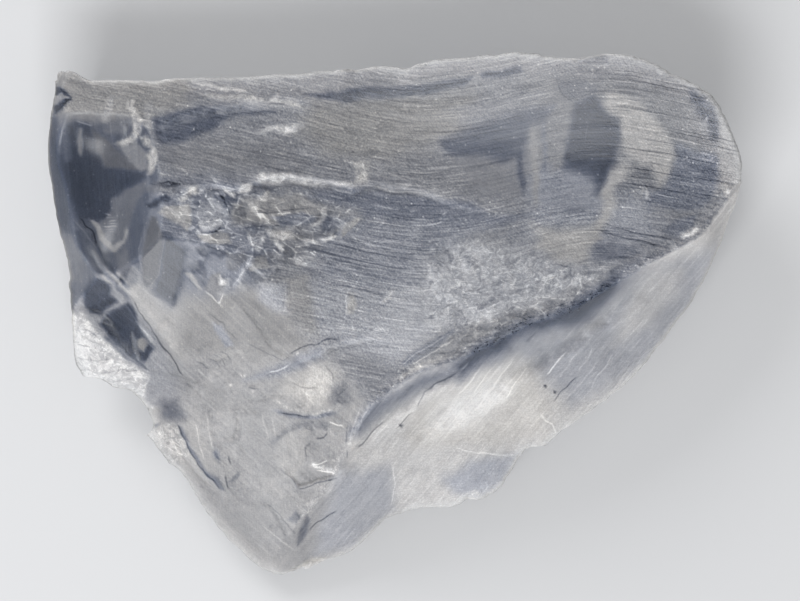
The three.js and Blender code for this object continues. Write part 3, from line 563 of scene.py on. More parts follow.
# %% Chips of the broken zone
CHIP_AREAS = [
    (SMOKE, 0.3, 0.10, [(-24.9, 12.4), (-23.6, 13.4), (-21, 13.5), (-20, 13.1), (-21.4, 12.6),
        (-22.4, 12.2), (-24, 12.2)]),
    (DEEP, 0.15, 0.30, [(-24.6, 11), (-23.6, 11.6), (-22.7, 12.1), (-22, 11.9), (-22.5, 11.3),
        (-23.3, 10.9), (-24.3, 10.8)]),
    (PEARL, 0.12, -0.15, [(-21.6, 12), (-20.8, 12.4), (-20.2, 13), (-19.5, 12.9), (-19.4, 12.1),
        (-20.3, 12), (-20.7, 11.6), (-21.2, 11.5)]),
    (ASH, 0.12, -0.12, [(-23.4, 10.1), (-22.6, 10.8), (-20.3, 11.4), (-20.1, 9.4), (-20.6, 8.4),
        (-22, 9.3)]),
    (PEARL, 0.12, 0, [(-20.9, 9.7), (-20.6, 9.6), (-20.4, 8.6), (-20.7, 8.4)]),
    (MIST, 0.12, 0.12, [(-19.7, 9.9), (-19.3, 11.2), (-18.2, 11.6), (-17.2, 11.2), (-17, 9.9)]),
    (LILAC, 0.10, 0.14, [(-19.5, 9.7), (-17.1, 9.9), (-16.9, 8.9), (-17.6, 8.5), (-18.8, 8.4),
        (-19.3, 8.9)]),
    # painted light on the crescent below the square facet, and painted shade in the hollow under it
    (ASH, 0.10, -0.12, [(-19.4, 8.2), (-18.4, 8.1), (-17.2, 8.4), (-16.2, 8.1), (-15.9, 7.2), (-17, 7.1),
        (-18.2, 7.1), (-18.9, 7.5)]),
    (SLATE, 0.15, 0.30, [(-19.6, 6.8), (-18.5, 7.05), (-17.2, 6.8), (-16.5, 6.4), (-17.3, 5.8), (-18.2, 6),
        (-18.8, 5.6), (-19.4, 6)]),
    (SMOKE, 0.15, 0.10, [(-16.8, 6.6), (-15.6, 6.3), (-14.4, 6.6), (-14.6, 5.6), (-15.6, 4.6),
        (-16.4, 4.8)]),
    (BROWN, 0.12, -0.10, [(-24, 9.8), (-24.6, 7.9), (-25, 6), (-25.2, 4.4), (-24.8, 3), (-23.8, 3.7),
        (-23.2, 5.2), (-22.9, 7), (-22.9, 8), (-23.5, 9.5)]),
    (SLATE, 0.25, 0.15, [(-24.4, 9.6), (-24.9, 8), (-25.3, 6.4), (-25.5, 4.6), (-26.2, 5.4), (-26.4, 7.6),
        (-25.4, 9.3)]),
    (DEEP, 0.5, 0.15, [(-22.8, 7.8), (-22.2, 7.8), (-20.6, 6.8), (-20.9, 4.6), (-21.2, 2.8), (-22, 1),
        (-24.2, 2.6), (-23.1, 5)]),
    (SLATE, 0.12, 0.15, [(-20.7, 5), (-19.9, 5.4), (-18.9, 5.4), (-18.7, 3.6), (-19.2, 2.9), (-19.9, 4)]),
    (ASH, 0.10, -0.08, [(-20.9, 4.4), (-20.1, 4.2), (-19.1, 2.8), (-19.3, 2.6), (-20.2, 3.5)]),
    (GREY, 0.10, -0.15, [(-18.7, 2.8), (-17.4, 1.3), (-16.8, 2.6), (-16.7, 3.4), (-17.2, 4.4),
        (-18.2, 4.2)]),
    (WHITE, 0.10, -0.15, [(-17.2, 4.3), (-16.8, 3.9), (-16.2, 3.9), (-16.3, 3.3), (-17, 3.2),
        (-17.3, 3.4)]),
    (MIST, 0.12, -0.10, [(-13.6, 6.1), (-14.4, 5.5), (-15.4, 4.1), (-16, 2.9), (-15.5, 3), (-14.9, 4.1),
        (-14.3, 4.9), (-13.8, 5.4)]),
    (ASH, 0.12, 0.10, [(-13.4, 6), (-12.6, 5.8), (-12.2, 4.8), (-13.2, 4.6), (-14.4, 4.4), (-14.2, 4.9)]),
    (LILAC, 0.10, 0.10, [(-14.5, 8.3), (-12.7, 8.6), (-12.6, 7.6), (-13, 6.4), (-13.4, 6.3), (-14.3, 7.3)]),
    (STEEL, 0.15, 0.15, [(-16, 8.4), (-14.6, 8.3), (-14.4, 7.2), (-13.6, 6.4), (-15, 6.4), (-15.8, 7)]),
    (PEARL, 0.25, -0.10, [(-12.8, 8.8), (-11.4, 8.7), (-10.1, 8.3), (-10.2, 7.5), (-11.4, 7.4),
        (-12.2, 7.6)]),
    (STEEL, 0.12, -0.08, [(-12.2, 9.9), (-9, 10.2), (-7.4, 9.6), (-8.6, 8.8), (-11, 8.9)]),
    (SNOW, 0.12, -0.12, [(-11.6, 7.3), (-10.9, 7.2), (-10.6, 6.4), (-11.1, 6.3)]),
    (WHITE, 0.12, -0.10, [(-16.6, 12.3), (-15.9, 12.3), (-16.2, 11.8), (-16.6, 11.8)]),
    (PEARL, 0.15, -0.08, [(-12.3, 12.6), (-12.1, 12.2), (-12.8, 11.5), (-13.2, 11.4), (-12.9, 12)]),
    (GREY, 0.30, 0.08, [(-16, 11.2), (-14.4, 11.4), (-14.6, 10), (-14.8, 8.9), (-16, 8.9), (-16.4, 10)]),
    (LILAC, 0.5, 0, [(-13.2, 3.4), (-10.8, 3.2), (-10.6, 0.2), (-11.8, 0.4), (-13.4, 1.6)]),
    (ASH, 0.5, 0, [(-10.4, 3.6), (-8.4, 4), (-8, 0.4), (-7.4, -1.8), (-9.6, -1.6), (-10.2, 0)]),
    (MIST, 0.12, 0, [(-18.2, -0.5), (-17.1, -0.8), (-16.5, -1.6), (-15.9, -3), (-16.6, -3), (-17.4, -1.6)]),
    (PEARL, 0.15, -0.05, [(-4.8, 2.2), (-4.2, 2.1), (-3.6, 1.2), (-3.9, 0.2), (-4.7, 0.1), (-4.6, 0.9)]),
]

# %% The broken corner and the lower faces
LOWER_AREAS = [
    (DEEP, 0.3, 0.25, [(-31.2, 1.6), (-30.9, 2.6), (-30.2, 3.6), (-29.4, 3.8), (-28.6, 3.2), (-28.4, 2.2),
        (-27.6, 1.4), (-28.6, 0.9), (-29.2, 0.2), (-30.2, 0.3), (-30.9, 0.9)]),
    (DEEP, 0.25, 0.2, [(-28, 0.6), (-26.4, 1.3), (-25.6, 0.2), (-25.4, -1), (-24.9, -2.1), (-23.8, -3.5),
        (-25.1, -4.7), (-26.4, -4.1), (-27.9, -3), (-28.7, -1.8), (-29.3, -0.8), (-28.8, 0.2)]),
    (BEIGE, 0.2, 0, [(-25.9, -2.4), (-25, -2.3), (-24.4, -2.9), (-25, -3.7), (-25.7, -3.3)]),
    (SLATE, 0.25, 0, [(-29.2, -2), (-28.6, -1.9), (-27.6, -3), (-25.2, -4.8), (-24.9, -5.4),
        (-27.2, -4.2)]),
    # the white wedge: crushed, and partly a painted highlight
    (WHITE, 0.2, -0.05, [(-32.4, 0), (-31.1, 0.5), (-28.6, -3), (-24.7, -6), (-25.2, -8.2), (-28.6, -7.4),
        (-31.6, -6.4), (-32.4, -4.5)]),
    (SMOKE, 0.7, 0, [(-23.6, -8.5), (-21.8, -8.4), (-20.9, -9.9), (-22.4, -10.6), (-23.3, -10.2)]),
    (SMOKE, 0.2, 0, [(-24.8, -11.9), (-24.5, -11), (-23.4, -10.9), (-23.9, -11.6)]),
    (PEARL, 0.25, -0.1, [(-24.8, -12.1), (-22.7, -10.9), (-21.8, -10.8), (-20.5, -13.8), (-21.4, -14.9),
        (-23, -14.6)]),
    # lower faces
    (MIST, 0.6, 0.10, [(-14.8, -6.2), (-12.4, -5.1), (-9.6, -3.8), (-7.2, -2.6), (-6.8, -4.2), (-9.8, -5.2),
        (-12.6, -6.2)]),
    (CREAM, 1.4, -0.05, [(-10.8, -6.6), (-7.4, -4.6), (-6.2, -5.6), (-6.1, -8.6), (-8.4, -9.2),
        (-11, -7.6)]),
    (PEARL, 0.4, 0, [(-12, -12.6), (-10, -11.4), (-8.4, -11.4), (-8.8, -14), (-10, -16.2), (-11.6, -15)]),
    (GREY, 0.3, 0.15, [(-10.4, -10.9), (-8.6, -10.4), (-6.4, -10.6), (-6.6, -11.2), (-8.6, -11.2),
        (-10.2, -11.6)]),
    (GREY, 0.5, 0.1, [(-6.3, -7.2), (-4.9, -6.8), (-4, -8.4), (-5.6, -9.2), (-6.4, -8.2)]),
    (SMOKE, 0.2, 0.15, [(-10.7, -20.5), (-9.7, -19.5), (-9.3, -20.3), (-9.9, -20.8)]),
    (SMOKE, 0.2, 0.15, [(-9.5, -21.6), (-8.6, -20.2), (-8.3, -20.6), (-8.9, -22.2), (-9.8, -23.2)]),
    (SMOKE, 0.2, 0.12, [(-18.2, -15.9), (-17.4, -16.1), (-17.1, -17.3), (-17.8, -17)]),
    (SMOKE, 0.2, 0.10, [(-16.6, -16.5), (-15.6, -15.6), (-15.5, -16.1)]),
]

# %% The bevel: its lighter washes are a painted glow from light passing through the stone, and the dark channel under the crest is painted shade
BEVEL_AREAS = [
    (STEEL, 1.0, 0, [(25, 5.6), (22, 4.8), (17, 1.3), (10.4, -1.6), (6, -4.6), (6.4, -6.4), (10.4, -4.4),
        (15.6, -2), (19.6, -0.6), (23.4, 3)]),
    # painted shade in the channel under the crest
    (DEEP, 0.6, 0, [(9.4, -2.1), (13.5, -0.5), (16, 0.7), (18, 1.8), (19.6, 2.9), (21.6, 4.3), (22, 3.2),
        (20.5, 1.3), (18, -0.2), (15.5, -0.8), (13, -1.6), (10.6, -3.2), (8, -4.4), (6.4, -5.4), (5.8, -5),
        (7.8, -3.6)]),
    (STEEL, 0.9, 0, [(5.8, -4.8), (2.8, -6), (-0.4, -7.4), (-3, -9), (-4.4, -11.8), (-3.2, -11.6),
        (0, -8.8), (3, -7.4), (6.2, -5.8)]),
    (SLATE, 0.3, 0, [(0.8, -4.6), (3, -2.8), (6, -1.4), (5, -2.6), (3, -4), (1.2, -4.9)]),
    (PEARL, 0.25, -0.05, [(0.6, -6.3), (2.4, -5.6), (4.8, -4.3), (4.6, -4), (2.4, -5), (0.4, -5.9)]),
    # painted glow: the bevel lit by light that passes through the stone
    (LILAC, 1.2, 0, [(12, -2.6), (20, -1), (24, 4), (30, 6), (34, 8), (30, 0), (24, -6), (18, -9),
        (15.6, -6.6), (13.6, -4.6)]),
    (MILK, 0.9, 0, [(25.4, 4.6), (29, 4.8), (28.4, 2), (25.4, -1), (22, -3), (22.6, 0)]),
    (ICE, 0.8, 0.10, [(4.8, -16.4), (8, -14.6), (12.4, -14), (11.4, -17), (8.6, -18.6), (6, -18)]),
    (LILAC, 1.0, 0, [(-6, -16), (-0.2, -15), (0, -20), (-4, -23.6), (-8, -24), (-7, -20)]),
    (CREAM, 1.2, 0, [(9, -5.6), (13.6, -5.6), (16, -9), (15.4, -12), (11, -12.8), (2, -13), (1, -10)]),
    (SNOW, 1.6, 0, [(8.6, -6.6), (11.4, -6.4), (10.6, -8.6), (7, -11), (3.4, -11.6), (5, -9.2)]),
]
AREAS = WASHES + WINDOW_AREAS + BOWL_AREAS + CHIP_AREAS + LOWER_AREAS + BEVEL_AREAS

# %% Lines: tone, half width, dip, points x, y
LINES = [
    (DEEP, 0.22, 0, [(-29.8, 7.2), (-28.6, 5.4), (-27.6, 3.9), (-26.6, 2.8)]),
    # the long pair of lines down the left
    (ASH, 0.28, -0.12, [(-30, 7), (-29.2, 5), (-27.4, 2.9), (-25.8, 1.7), (-24.6, 0.2), (-23.3, -2.2),
        (-21.9, -4.4), (-21.1, -5.7)]),
    (STEEL, 0.25, 0.20, [(-29.8, 6.2), (-28.9, 4.3), (-27.6, 2.7), (-26.3, 1.7)]),
    # top strip
    (PEARL, 0.35, -0.1, [(-19.4, 22), (-15.4, 21.7), (-12.4, 21.5), (-10.2, 21.1), (-8.8, 20.7)]),
    (WHITE, 0.25, -0.1, [(-11.9, 21.5), (-11.3, 21.9)]),
    (PEARL, 0.2, 0.05, [(-20, 23.2), (-17.4, 22.7), (-14.4, 22.3)]),
    # right part
    (SLATE, 0.3, 0, [(12.6, 19.2), (12.7, 16), (12.8, 12)]),
    (ASH, 0.45, 0, [(14, 19.4), (14, 15.6), (14.2, 12), (14.2, 10.8)]),
    (STEEL, 0.18, 0, [(15, 19.6), (15, 17), (14.9, 14)]),
    (GREY, 0.7, 0, [(16.8, 22), (16.6, 19), (16.4, 16), (16, 14.4)]),
    (PEARL, 0.9, 0, [(24, 15.6), (22, 13.6), (21.2, 11.2), (20.4, 9), (19, 7), (17.4, 5.6)]),
    (SNOW, 0.2, -0.05, [(24.8, 12.4), (25.6, 11.7)]),
    (SNOW, 0.3, -0.2, [(28.8, 7.9), (29.8, 8.1), (30.4, 8.7)]),
    (SNOW, 0.3, -0.1, [(33, 12.1), (33.5, 12.3)]),
    (SNOW, 0.22, -0.1, [(-17.2, 12.6), (-16.5, 12.1), (-16, 11.8)]),
    (WHITE, 0.25, -0.1, [(-12.9, 8.7), (-11.8, 8), (-10.2, 7.8), (-8.6, 7.5), (-7.2, 7.2)]),
    (SNOW, 0.2, -0.1, [(-8.2, 8.7), (-7.2, 9.2), (-6.8, 9.8), (-6.9, 10.4)]),
    (WHITE, 0.2, -0.1, [(-13.6, 10), (-13, 10.1)]),
    (WHITE, 0.16, -0.05, [(-0.1, 2.7), (-0.5, 2), (-1.3, 1.3)]),
    (PEARL, 0.22, -0.1, [(-13.2, -7.7), (-10.8, -9), (-8, -9.8), (-5.8, -9.3), (-4.8, -8.6)]),
    (STEEL, 0.2, 0.08, [(-12, -9.4), (-9.8, -10), (-7.6, -10.1), (-5.6, -9.6)]),
    (GREY, 0.3, 0.08, [(-12.4, -12.7), (-11.4, -12), (-10.2, -11.2)]),
    # painted glints on the lower faces
    (WHITE, 0.3, -0.12, [(-8.6, -14.6), (-7.4, -15.2), (-6.2, -15.6), (-5.8, -15.4)]),
    (STEEL, 0.2, 0.1, [(-21.6, -10.8), (-20.6, -13.2), (-18.9, -15.6), (-17, -17.4)]),
    (STEEL, 0.25, 0.05, [(-17.9, -13.2), (-17.5, -14.4)]),
    (WHITE, 0.3, -0.05, [(7.2, -18.2), (8.2, -17.9), (8.8, -18.4)]),
]

# %% [markdown]
# ## Hairlines and specks
# The stone is crossed by healed cracks thinner than a hair, and it holds a little dust. The mesh would need
# cells ten times finer to hold them. So the mesh only knows how far each point lies from the nearest
# hairline, and the material draws the line from that.

# %% Hairlines of the hollow face and the broken zone: strength, points x, y
HAIRLINES = [
    # top left
    (BRIGHT, [(-31.7, 19.6), (-30.7, 19.15), (-30, 18.9)]),
    (BRIGHT, [(-33, 18.45), (-32.5, 18.15)]),
    (PALE, [(-32.9, 17.7), (-32.4, 17.4)]),
    (PALE, [(-33, 17.1), (-32.4, 16.7)]),
    (BRIGHT, [(-29, 10.4), (-28.1, 10.05)]),
    (BRIGHT, [(-28.7, 9.5), (-27.6, 9.55)]),
    (BRIGHT, [(-29.3, 8.95), (-27.5, 8.9)]),
    (PALE, [(-28.6, 8.35), (-27.7, 8.4)]),
    (BRIGHT, [(-32.2, 10.8), (-31.8, 11.2)]),
    (PALE, [(-32.1, 9.9), (-31.2, 8.7), (-30.2, 7.6), (-29.4, 6.6), (-28.8, 5.2)]),
    (DARK, [(-31.4, 9.9), (-30.6, 8.8), (-29.9, 8), (-29.6, 7.2)]),
    (DARK, [(-33.7, 20.4), (-33, 20.8), (-32.4, 21.3)]),
    # beside the long pair of lines
    (DARK, [(-26, 1.6), (-24.7, -0.4), (-23.2, -3), (-21.8, -4.7), (-21, -5.9)]),
    (PALE, [(-26.8, 1.2), (-26, 0), (-24.9, -1.6), (-24.1, -3)]),
    # top strip and the right part
    (DIM, [(-13.6, 21.3), (-11.8, 21.1), (-10.4, 20.9)]),
    (PALE, [(19.3, 19.6), (19.2, 18.4), (19, 17.3)]),
    (DIM, [(15.9, 24), (16.6, 22.5), (17.4, 21.5), (18.8, 21.9), (20, 22.5)]),
    (DARK, [(20.8, 9.4), (24.6, 8.2), (27.8, 7.5)]),
    (DARK, [(20.4, 8.7), (24, 7.6), (26.6, 6.9)]),
    (PALE, [(21.3, 8.9), (22.4, 8.7)]),
    (DIM, [(15.4, 5.1), (16.6, 5.1), (17.4, 4.8), (17.6, 4.1)]),
    # the long step
    (PALE, [(-4.4, 12.8), (-2.6, 12.9), (-0.6, 12.5), (2, 12.3), (7.4, 11.8), (9, 11), (10.6, 10.1)]),
    (PALE, [(-2.2, 14.8), (-0.2, 14.1), (1.8, 13.3), (4.4, 12.4)]),
    (PALE, [(0.5, 12.5), (1.2, 12.8), (1.9, 13.3)]),
    (PALE, [(-12.4, 12.7), (-12.7, 12), (-13.1, 11.5)]),
    # chips of the broken zone, and the ground behind the crest
    (DARK, [(-17.9, 12.4), (-17, 11.4), (-16.3, 10)]),
    (BRIGHT, [(-18.8, 2.8), (-17.4, 1.3), (-16.8, 2.6)]),
    (PALE, [(-22.8, 7.9), (-23.1, 5.6), (-23.6, 4.2), (-24.6, 3)]),
    (PALE, [(-24.9, 8), (-25.3, 6.9), (-25.2, 5.2), (-25, 4.2)]),
    (BRIGHT, [(-16.9, 9.7), (-16.5, 9.3), (-16.8, 8.7)]),
    (DARK, [(-19.3, 8.3), (-18.3, 8.25), (-17.5, 8.45), (-16.9, 8.8)]),
    (DARK, [(-18.7, 7.25), (-17.7, 7.15), (-17, 7.05), (-16.1, 7.3)]),
    (PALE, [(-18, 6.95), (-17, 6.6), (-15.9, 6.3)]),
    (PALE, [(-17, 6.95), (-16.2, 6.75), (-15.4, 6.45)]),
    (PALE, [(-16.5, 1.1), (-15.9, 0.8), (-15.7, 1.4)]),
    (PALE, [(-20.6, 5.7), (-20.1, 5.3), (-19.5, 5)]),
    (BRIGHT, [(-10.1, 5.8), (-9.8, 5.4), (-9.6, 5.3)]),
    (BRIGHT, [(-9.4, 6), (-9, 5.6), (-8.8, 5.4)]),
    (BRIGHT, [(-6, 10.6), (-5.5, 10.9), (-5.3, 11)]),
    (BRIGHT, [(-5, 10), (-4.6, 10.3), (-4.2, 10.8)]),
    (PALE, [(-4.4, 7.9), (-2.4, 7.3), (0, 7.3), (2.4, 7.9)]),
    (BRIGHT, [(3.2, 9), (4.4, 9.2), (5.2, 9.5)]),
    (DIM, [(-18.6, 0.4), (-17, -0.7), (-16.4, -1.4), (-15.4, -2.6), (-14.5, -2.9)]),
    (PALE, [(-10.8, 3.2), (-10.7, 1.6), (-10.9, 0.2)]),
    (PALE, [(-10.4, 3), (-10.5, 1.4), (-10.6, 0.4)]),
    (DIM, [(2.4, 1), (3, 0.6), (3.4, 0)]),
    (PALE, [(2.9, 0.8), (3.3, 0.2), (3.3, -0.3)]),
    (PALE, [(3.1, -1.55), (4, -1.55), (4.7, -1.4)]),
    (BRIGHT, [(0.8, -4.8), (3, -3.2), (5.6, -1.8)]),
    (BRIGHT, [(2, -4.8), (4, -3.5), (6.2, -2.2)]),
    (DARK, [(-23.7, 13), (-22.4, 13.4), (-20.6, 13.2), (-19.8, 13.1)]),
    (DIM, [(-24.2, 12.6), (-22.8, 12.9), (-21.2, 12.8)]),
    (DARK, [(-24.2, 13.2), (-22.6, 13), (-20.8, 13.1)]),
    (PALE, [(-24.4, 12.6), (-22.8, 12.7), (-21, 12.9), (-20, 13.3)]),
    (DIM, [(-15, 8.6), (-13.2, 8.9), (-11, 9.1)]),
    (DIM, [(-14.6, 10.3), (-11.6, 10.4), (-8, 10.7)]),
    (PALE, [(-13.7, 6.1), (-14.8, 4.7), (-15.9, 3)]),
    # seams of the lilac face
    (PALE, [(-3.4, 4.3), (-3.8, 3.3), (-4.7, 2.5), (-4.9, 1.6), (-4.6, 0.6), (-5, -0.3), (-4.3, -0.5),
        (-4, -1.4), (-4.6, -1.8)]),
]

# %% Hairlines of the lower faces and the bevel
HAIRLINES += [
    (DARK, [(-10.6, -3.7), (-8.6, -2.8), (-7, -2.3), (-5.2, -2.4)]),
    (DIM, [(-15.6, -2.6), (-13.8, -3), (-12.6, -3.8), (-11.2, -4.4), (-10.4, -3.9)]),
    (BRIGHT, [(-12.8, -5.7), (-11.8, -5.4), (-10.4, -4.7)]),
    (DARK, [(-14.5, -6.9), (-13.3, -7.4)]),
    (BRIGHT, [(-6.6, -14.4), (-5, -14.5)]),
    (DARK, [(-9.5, -17.2), (-7.6, -16.8), (-5.8, -16.2)]),
    (DIM, [(-11.6, -15.2), (-10, -16.5), (-9.4, -17.2)]),
    (DARK, [(-8.6, -21.8), (-7.4, -20.8), (-5.8, -19.7)]),
    (DIM, [(-12.7, -18.8), (-11.4, -20), (-9.9, -22.2)]),
    (PALE, [(-22.3, -11.2), (-22.5, -12.4), (-22.4, -13.4)]),
    (DARK, [(-16.6, -13.8), (-16.3, -15)]),
    (DARK, [(-32.1, -2.8), (-31.2, -2.9), (-30.4, -3)]),
    # bevel
    (DARK, [(2.2, -9.2), (3, -7.8), (4.6, -6.4), (6.4, -5.3)]),
    (PALE, [(0.1, -14.8), (0, -17), (-0.2, -19.2)]),
    (PALE, [(14.8, -9.6), (15.8, -10.6), (16.4, -11.8)]),
    (PALE, [(6, -13.1), (8.6, -13.9), (12.2, -14.2)]),
    (DARK, [(-3.6, -13.2), (-2.9, -12.6), (-2.3, -11.8), (-1.3, -10.9), (-0.8, -10.4)]),
    # cracks of the lower faces
    (DIM, [(-10.4, -6.4), (-9.2, -6.9), (-7.6, -7.1)]),
    (DARK, [(-7.9, -12.3), (-7, -12), (-6.6, -11.4)]),
    (DIM, [(-8.9, -14.6), (-8.9, -13.4), (-8.2, -12.6)]),
    (DARK, [(-4.8, -13.2), (-4.8, -14.4)]),
    (DIM, [(-7.1, -4.6), (-6.3, -5.8), (-6.2, -6.9)]),
    (DARK, [(-11.4, -9.6), (-9.9, -9.9), (-8.4, -10)]),
    # streaks of the bevel
    (DARK, [(0.4, -11.4), (0.9, -10.6), (1.8, -9.6)]),
    (BRIGHT, [(6.1, -5.6), (6.8, -5), (7.5, -4.3)]),
    (PALE, [(9, -4.6), (7.6, -6.2), (6.2, -8)]),
    (PALE, [(10.6, -4.2), (9.2, -5.9), (7.8, -7.8)]),
    (PALE, [(12, -4.3), (10.8, -5.8), (9.4, -7.6), (8.2, -9.4)]),
    (PALE, [(13.4, -5), (12.2, -6.6), (11, -8.4)]),
    (BRIGHT, [(17.1, -3.5), (16.2, -4.6), (15.2, -5.8)]),
    (PALE, [(18.4, -3.4), (17.4, -4.8), (16.4, -6.2)]),
    (PALE, [(19.9, -3), (19.1, -4.4), (18.2, -6)]),
    (DARK, [(18.4, -5.6), (17.2, -7.2), (16, -8.6)]),
    (PALE, [(20.2, -4.9), (18.8, -6.6), (17.4, -8.2)]),
    (PALE, [(22, -4), (20.6, -5.8), (19.4, -7.4)]),
    (DIM, [(14.1, -1.6), (13.5, -2.2), (12.9, -2.7)]),
    (BRIGHT, [(14.2, 0.9), (14.8, 0.2)]),
    # dark edge of the lower left, with ribs beside it
    (DARK, [(-21.8, -10.6), (-21, -12.6), (-20.4, -13.8), (-19.6, -15), (-18.6, -16), (-17.5, -17.2)]),
    (DARK, [(-16.9, -15.6), (-16.7, -16.6), (-16.6, -17.4)]),
    (PALE, [(-22.8, -10.8), (-22.2, -11), (-22.3, -13.2)]),
    (DIM, [(-15.8, -8.7), (-15.5, -8.1)]),
    (PALE, [(-19.8, -10.6), (-19.6, -12.6), (-19, -14.4)]),
    (PALE, [(-18.8, -9.8), (-18.4, -12), (-17.9, -14)]),
    (DIM, [(-18, -13.3), (-17.4, -14.5)]),
    (PALE, [(-13, -9.8), (-12.9, -11.2), (-12.4, -12.4)]),
    (PALE, [(-12.2, -10), (-12.1, -11.2), (-11.8, -12.2)]),
    # ripples like the scales of a fish
    (DIM, [(-18.4, -4.2), (-17.6, -4.6), (-17.2, -5.5)]),
    (DIM, [(-17.9, -3.6), (-17, -4.2), (-16.6, -5.2)]),
    (DIM, [(-17.3, -3.2), (-16.4, -3.9), (-16, -4.8)]),
    (DIM, [(-19.8, -4.6), (-19, -4.8), (-18.4, -5.6)]),
    (PALE, [(-20, -5.4), (-19.3, -5.4), (-18.8, -6.2)]),
    # painted glints along small cracks of the lower faces, and streaks beside the crest
    (BRIGHT, [(-8.5, -14.9), (-6.8, -14.55), (-5.3, -14.6)]),
    (BRIGHT, [(-8, -15.4), (-7, -15.5), (-5.9, -15.9)]),
    (BRIGHT, [(-5.8, -13.9), (-5.4, -14.5), (-5.2, -14.9)]),
    (BRIGHT, [(-6.4, -10.4), (-5.6, -10.6), (-4.8, -10.9)]),
    (BRIGHT, [(-15.2, -5.5), (-14.8, -6.1)]),
    (PALE, [(-8.8, -10.4), (-8.2, -10.9), (-7.8, -11.5)]),
    (DIM, [(-9, -11.2), (-8.5, -11.5), (-7.6, -11.4)]),
    (DIM, [(-5.7, -8.4), (-5.2, -7.7), (-4.7, -7.2)]),
    (DIM, [(-5.9, -7.8), (-5.4, -8.5), (-4.9, -8.8)]),
    (DIM, [(-4.6, -10.6), (-4.7, -12), (-4.9, -13.2)]),
    (PALE, [(-3.4, -9), (-4, -10.8), (-4.3, -12.6)]),
    (PALE, [(-2.4, -8.4), (-3.2, -10), (-3.6, -11.4)]),
    # wedge
    (DARK, [(-29.1, -3.6), (-28.7, -3.25)]),
    (DIM, [(-31.4, -5.2), (-29.4, -5.7), (-27.2, -5.3), (-25.6, -5.5)]),
    (DIM, [(-30, -6.3), (-28.2, -6.6), (-26.2, -6.2)]),
    (DIM, [(-31.8, -1.2), (-30.6, -1.5), (-29.6, -2.2)]),
    (DIM, [(-31.9, -4.1), (-30, -4.4), (-28.2, -4.2)]),
    (PALE, [(-29.3, -1.2), (-28.2, -2.9), (-26.8, -4), (-25.3, -5.2)]),
    # beside the dark line by the point
    (PALE, [(-13.4, -21), (-12, -22.2), (-10.2, -23.6)]),
]

# %% Specks of dust and loose grains: tone, x, y
SPECKS = [
    (INK, 3.7, -0.1), (INK, 0.7, -10.9), (INK, 15.1, -7.0), (INK, 16.1, -7.6), (SNOW, 1.8, 10.5),
    (SNOW, 5.0, 10.2), (SNOW, -1.2, 9.2), (SNOW, 33.3, 12.2), (SNOW, 31.1, 19.6), (SNOW, -13.3, 10.0),
    (SNOW, -20.9, 11.9), (SNOW, -9.3, 12.2), (SNOW, -8.7, 12.2), (SNOW, -16.3, -6.9), (SNOW, -14.9, -5.9),
    (SNOW, -14.1, -7.5), (SNOW, -24.3, -9.2), (SNOW, 18.4, 2.3), (SNOW, 18.9, 3.9), (SNOW, 5.7, 2.0),
    (SNOW, -9.6, -3.7), (SMOKE, -31.3, -5.5), (SMOKE, -18.5, -9.5), (SMOKE, -12.4, -21.2),
    (SMOKE, 12.4, 0.3), (SMOKE, -19.4, -17.2),
]
print("areas:", len(AREAS), "lines:", len(LINES), "hairlines:", len(HAIRLINES), "specks:", len(SPECKS))

# %% [markdown]
# ## From cracks to one surface
# Each crack gets its ribs, and the surface follows the lowest. A plain minimum would make every crest a
# knife edge. On the stone some crests are crisp and others worn into a wide round, so this is a soft
# minimum, whose width can differ from place to place: -width * ln(sum of exp(-height / width)). The same
# shares that blend the heights also blend the tones of neighbouring cracks.

# %% Let the lines stray a little
def stray(seed):
    """Millimetres by which the given lines and marks stray: a sway of 0.22 every 3 mm or so, and a finer one
    of 0.08 every 0.7 mm."""
    return 0.22 * rough_noise(x / 3, y / 3, seed) + 0.08 * rough_noise(x / 0.7, y / 0.7, seed + 2, 2)


CALM = 0.25  # share of it that the flow follows
stray_x, stray_y = stray(11), stray(12)
wx, wy = x + stray_x, y + stray_y
calm_x, calm_y = x + CALM * stray_x, y + CALM * stray_y
print("farthest stray, mm:", abs(stray_x).max())

# %% The sheets and their flows
bowl_across, bowl_along, bowl_turn = bowl_flow(calm_x, calm_y)
corner_face = thin_plate(CORNER_FACE)(x, y)
corner_shelf = thin_plate(CORNER_SHELF)(x, y)
corner_turn = np.where(corner_shelf >= corner_face, -25, -44)
# Each crack: sheet, turn of its flow in degrees, rib height, milkiness, warmth, how scratched it looks
CRACKS = [
    (thin_plate(BOWL)(x, y), bowl_turn, 0.035, 0.50, 0.45, 1.0),
    # The bevel's milkiness is partly a painted glow, from light that passes through the stone and out of the
    # bevel
    (thin_plate(BEVEL)(x, y), 50, 0.030, 0.80, 0.60, 0.4),
    (thin_plate(SLOPE)(x, y), -42, 0.025, 0.66, 0.70, 0.45),
    (thin_plate(WINDOW)(x, y), 96, 0.010, 0.24, 0.20, 0.25),
    (thin_plate(LEFT_EDGE)(x, y), 95, 0.015, 0.32, 0.25, 0.4),
    (np.maximum(corner_face, corner_shelf), corner_turn, 0.015, 0.60, 0.40, 0.5),
]
sheets, turns, rib_heights, crack_milk_and_glow, crack_warm, crack_scratches = zip(*CRACKS)
flows = [(bowl_across, bowl_along)]
for turn in turns[1:]:
    across_x, across_y = -np.sin(np.radians(turn)), np.cos(np.radians(turn))
    flows.append((calm_x * across_x + calm_y * across_y, calm_x * across_y - calm_y * across_x))

# %% Ribs on the sheets, and the soft minimum
RIBS = [(0.6, 0.9, 14, 20), (0.4, 0.5, 8, 50)]  # share, spacing, length, seed
heights = np.array([
    sheet + rib_height * sum(share * ribs(*flow, spacing, length, seed + 3 * n)
                             for share, spacing, length, seed in RIBS)
    for n, (sheet, rib_height, flow) in enumerate(zip(sheets, rib_heights, flows))
])
lowest = heights.min(0)
winner = heights.argmin(0)
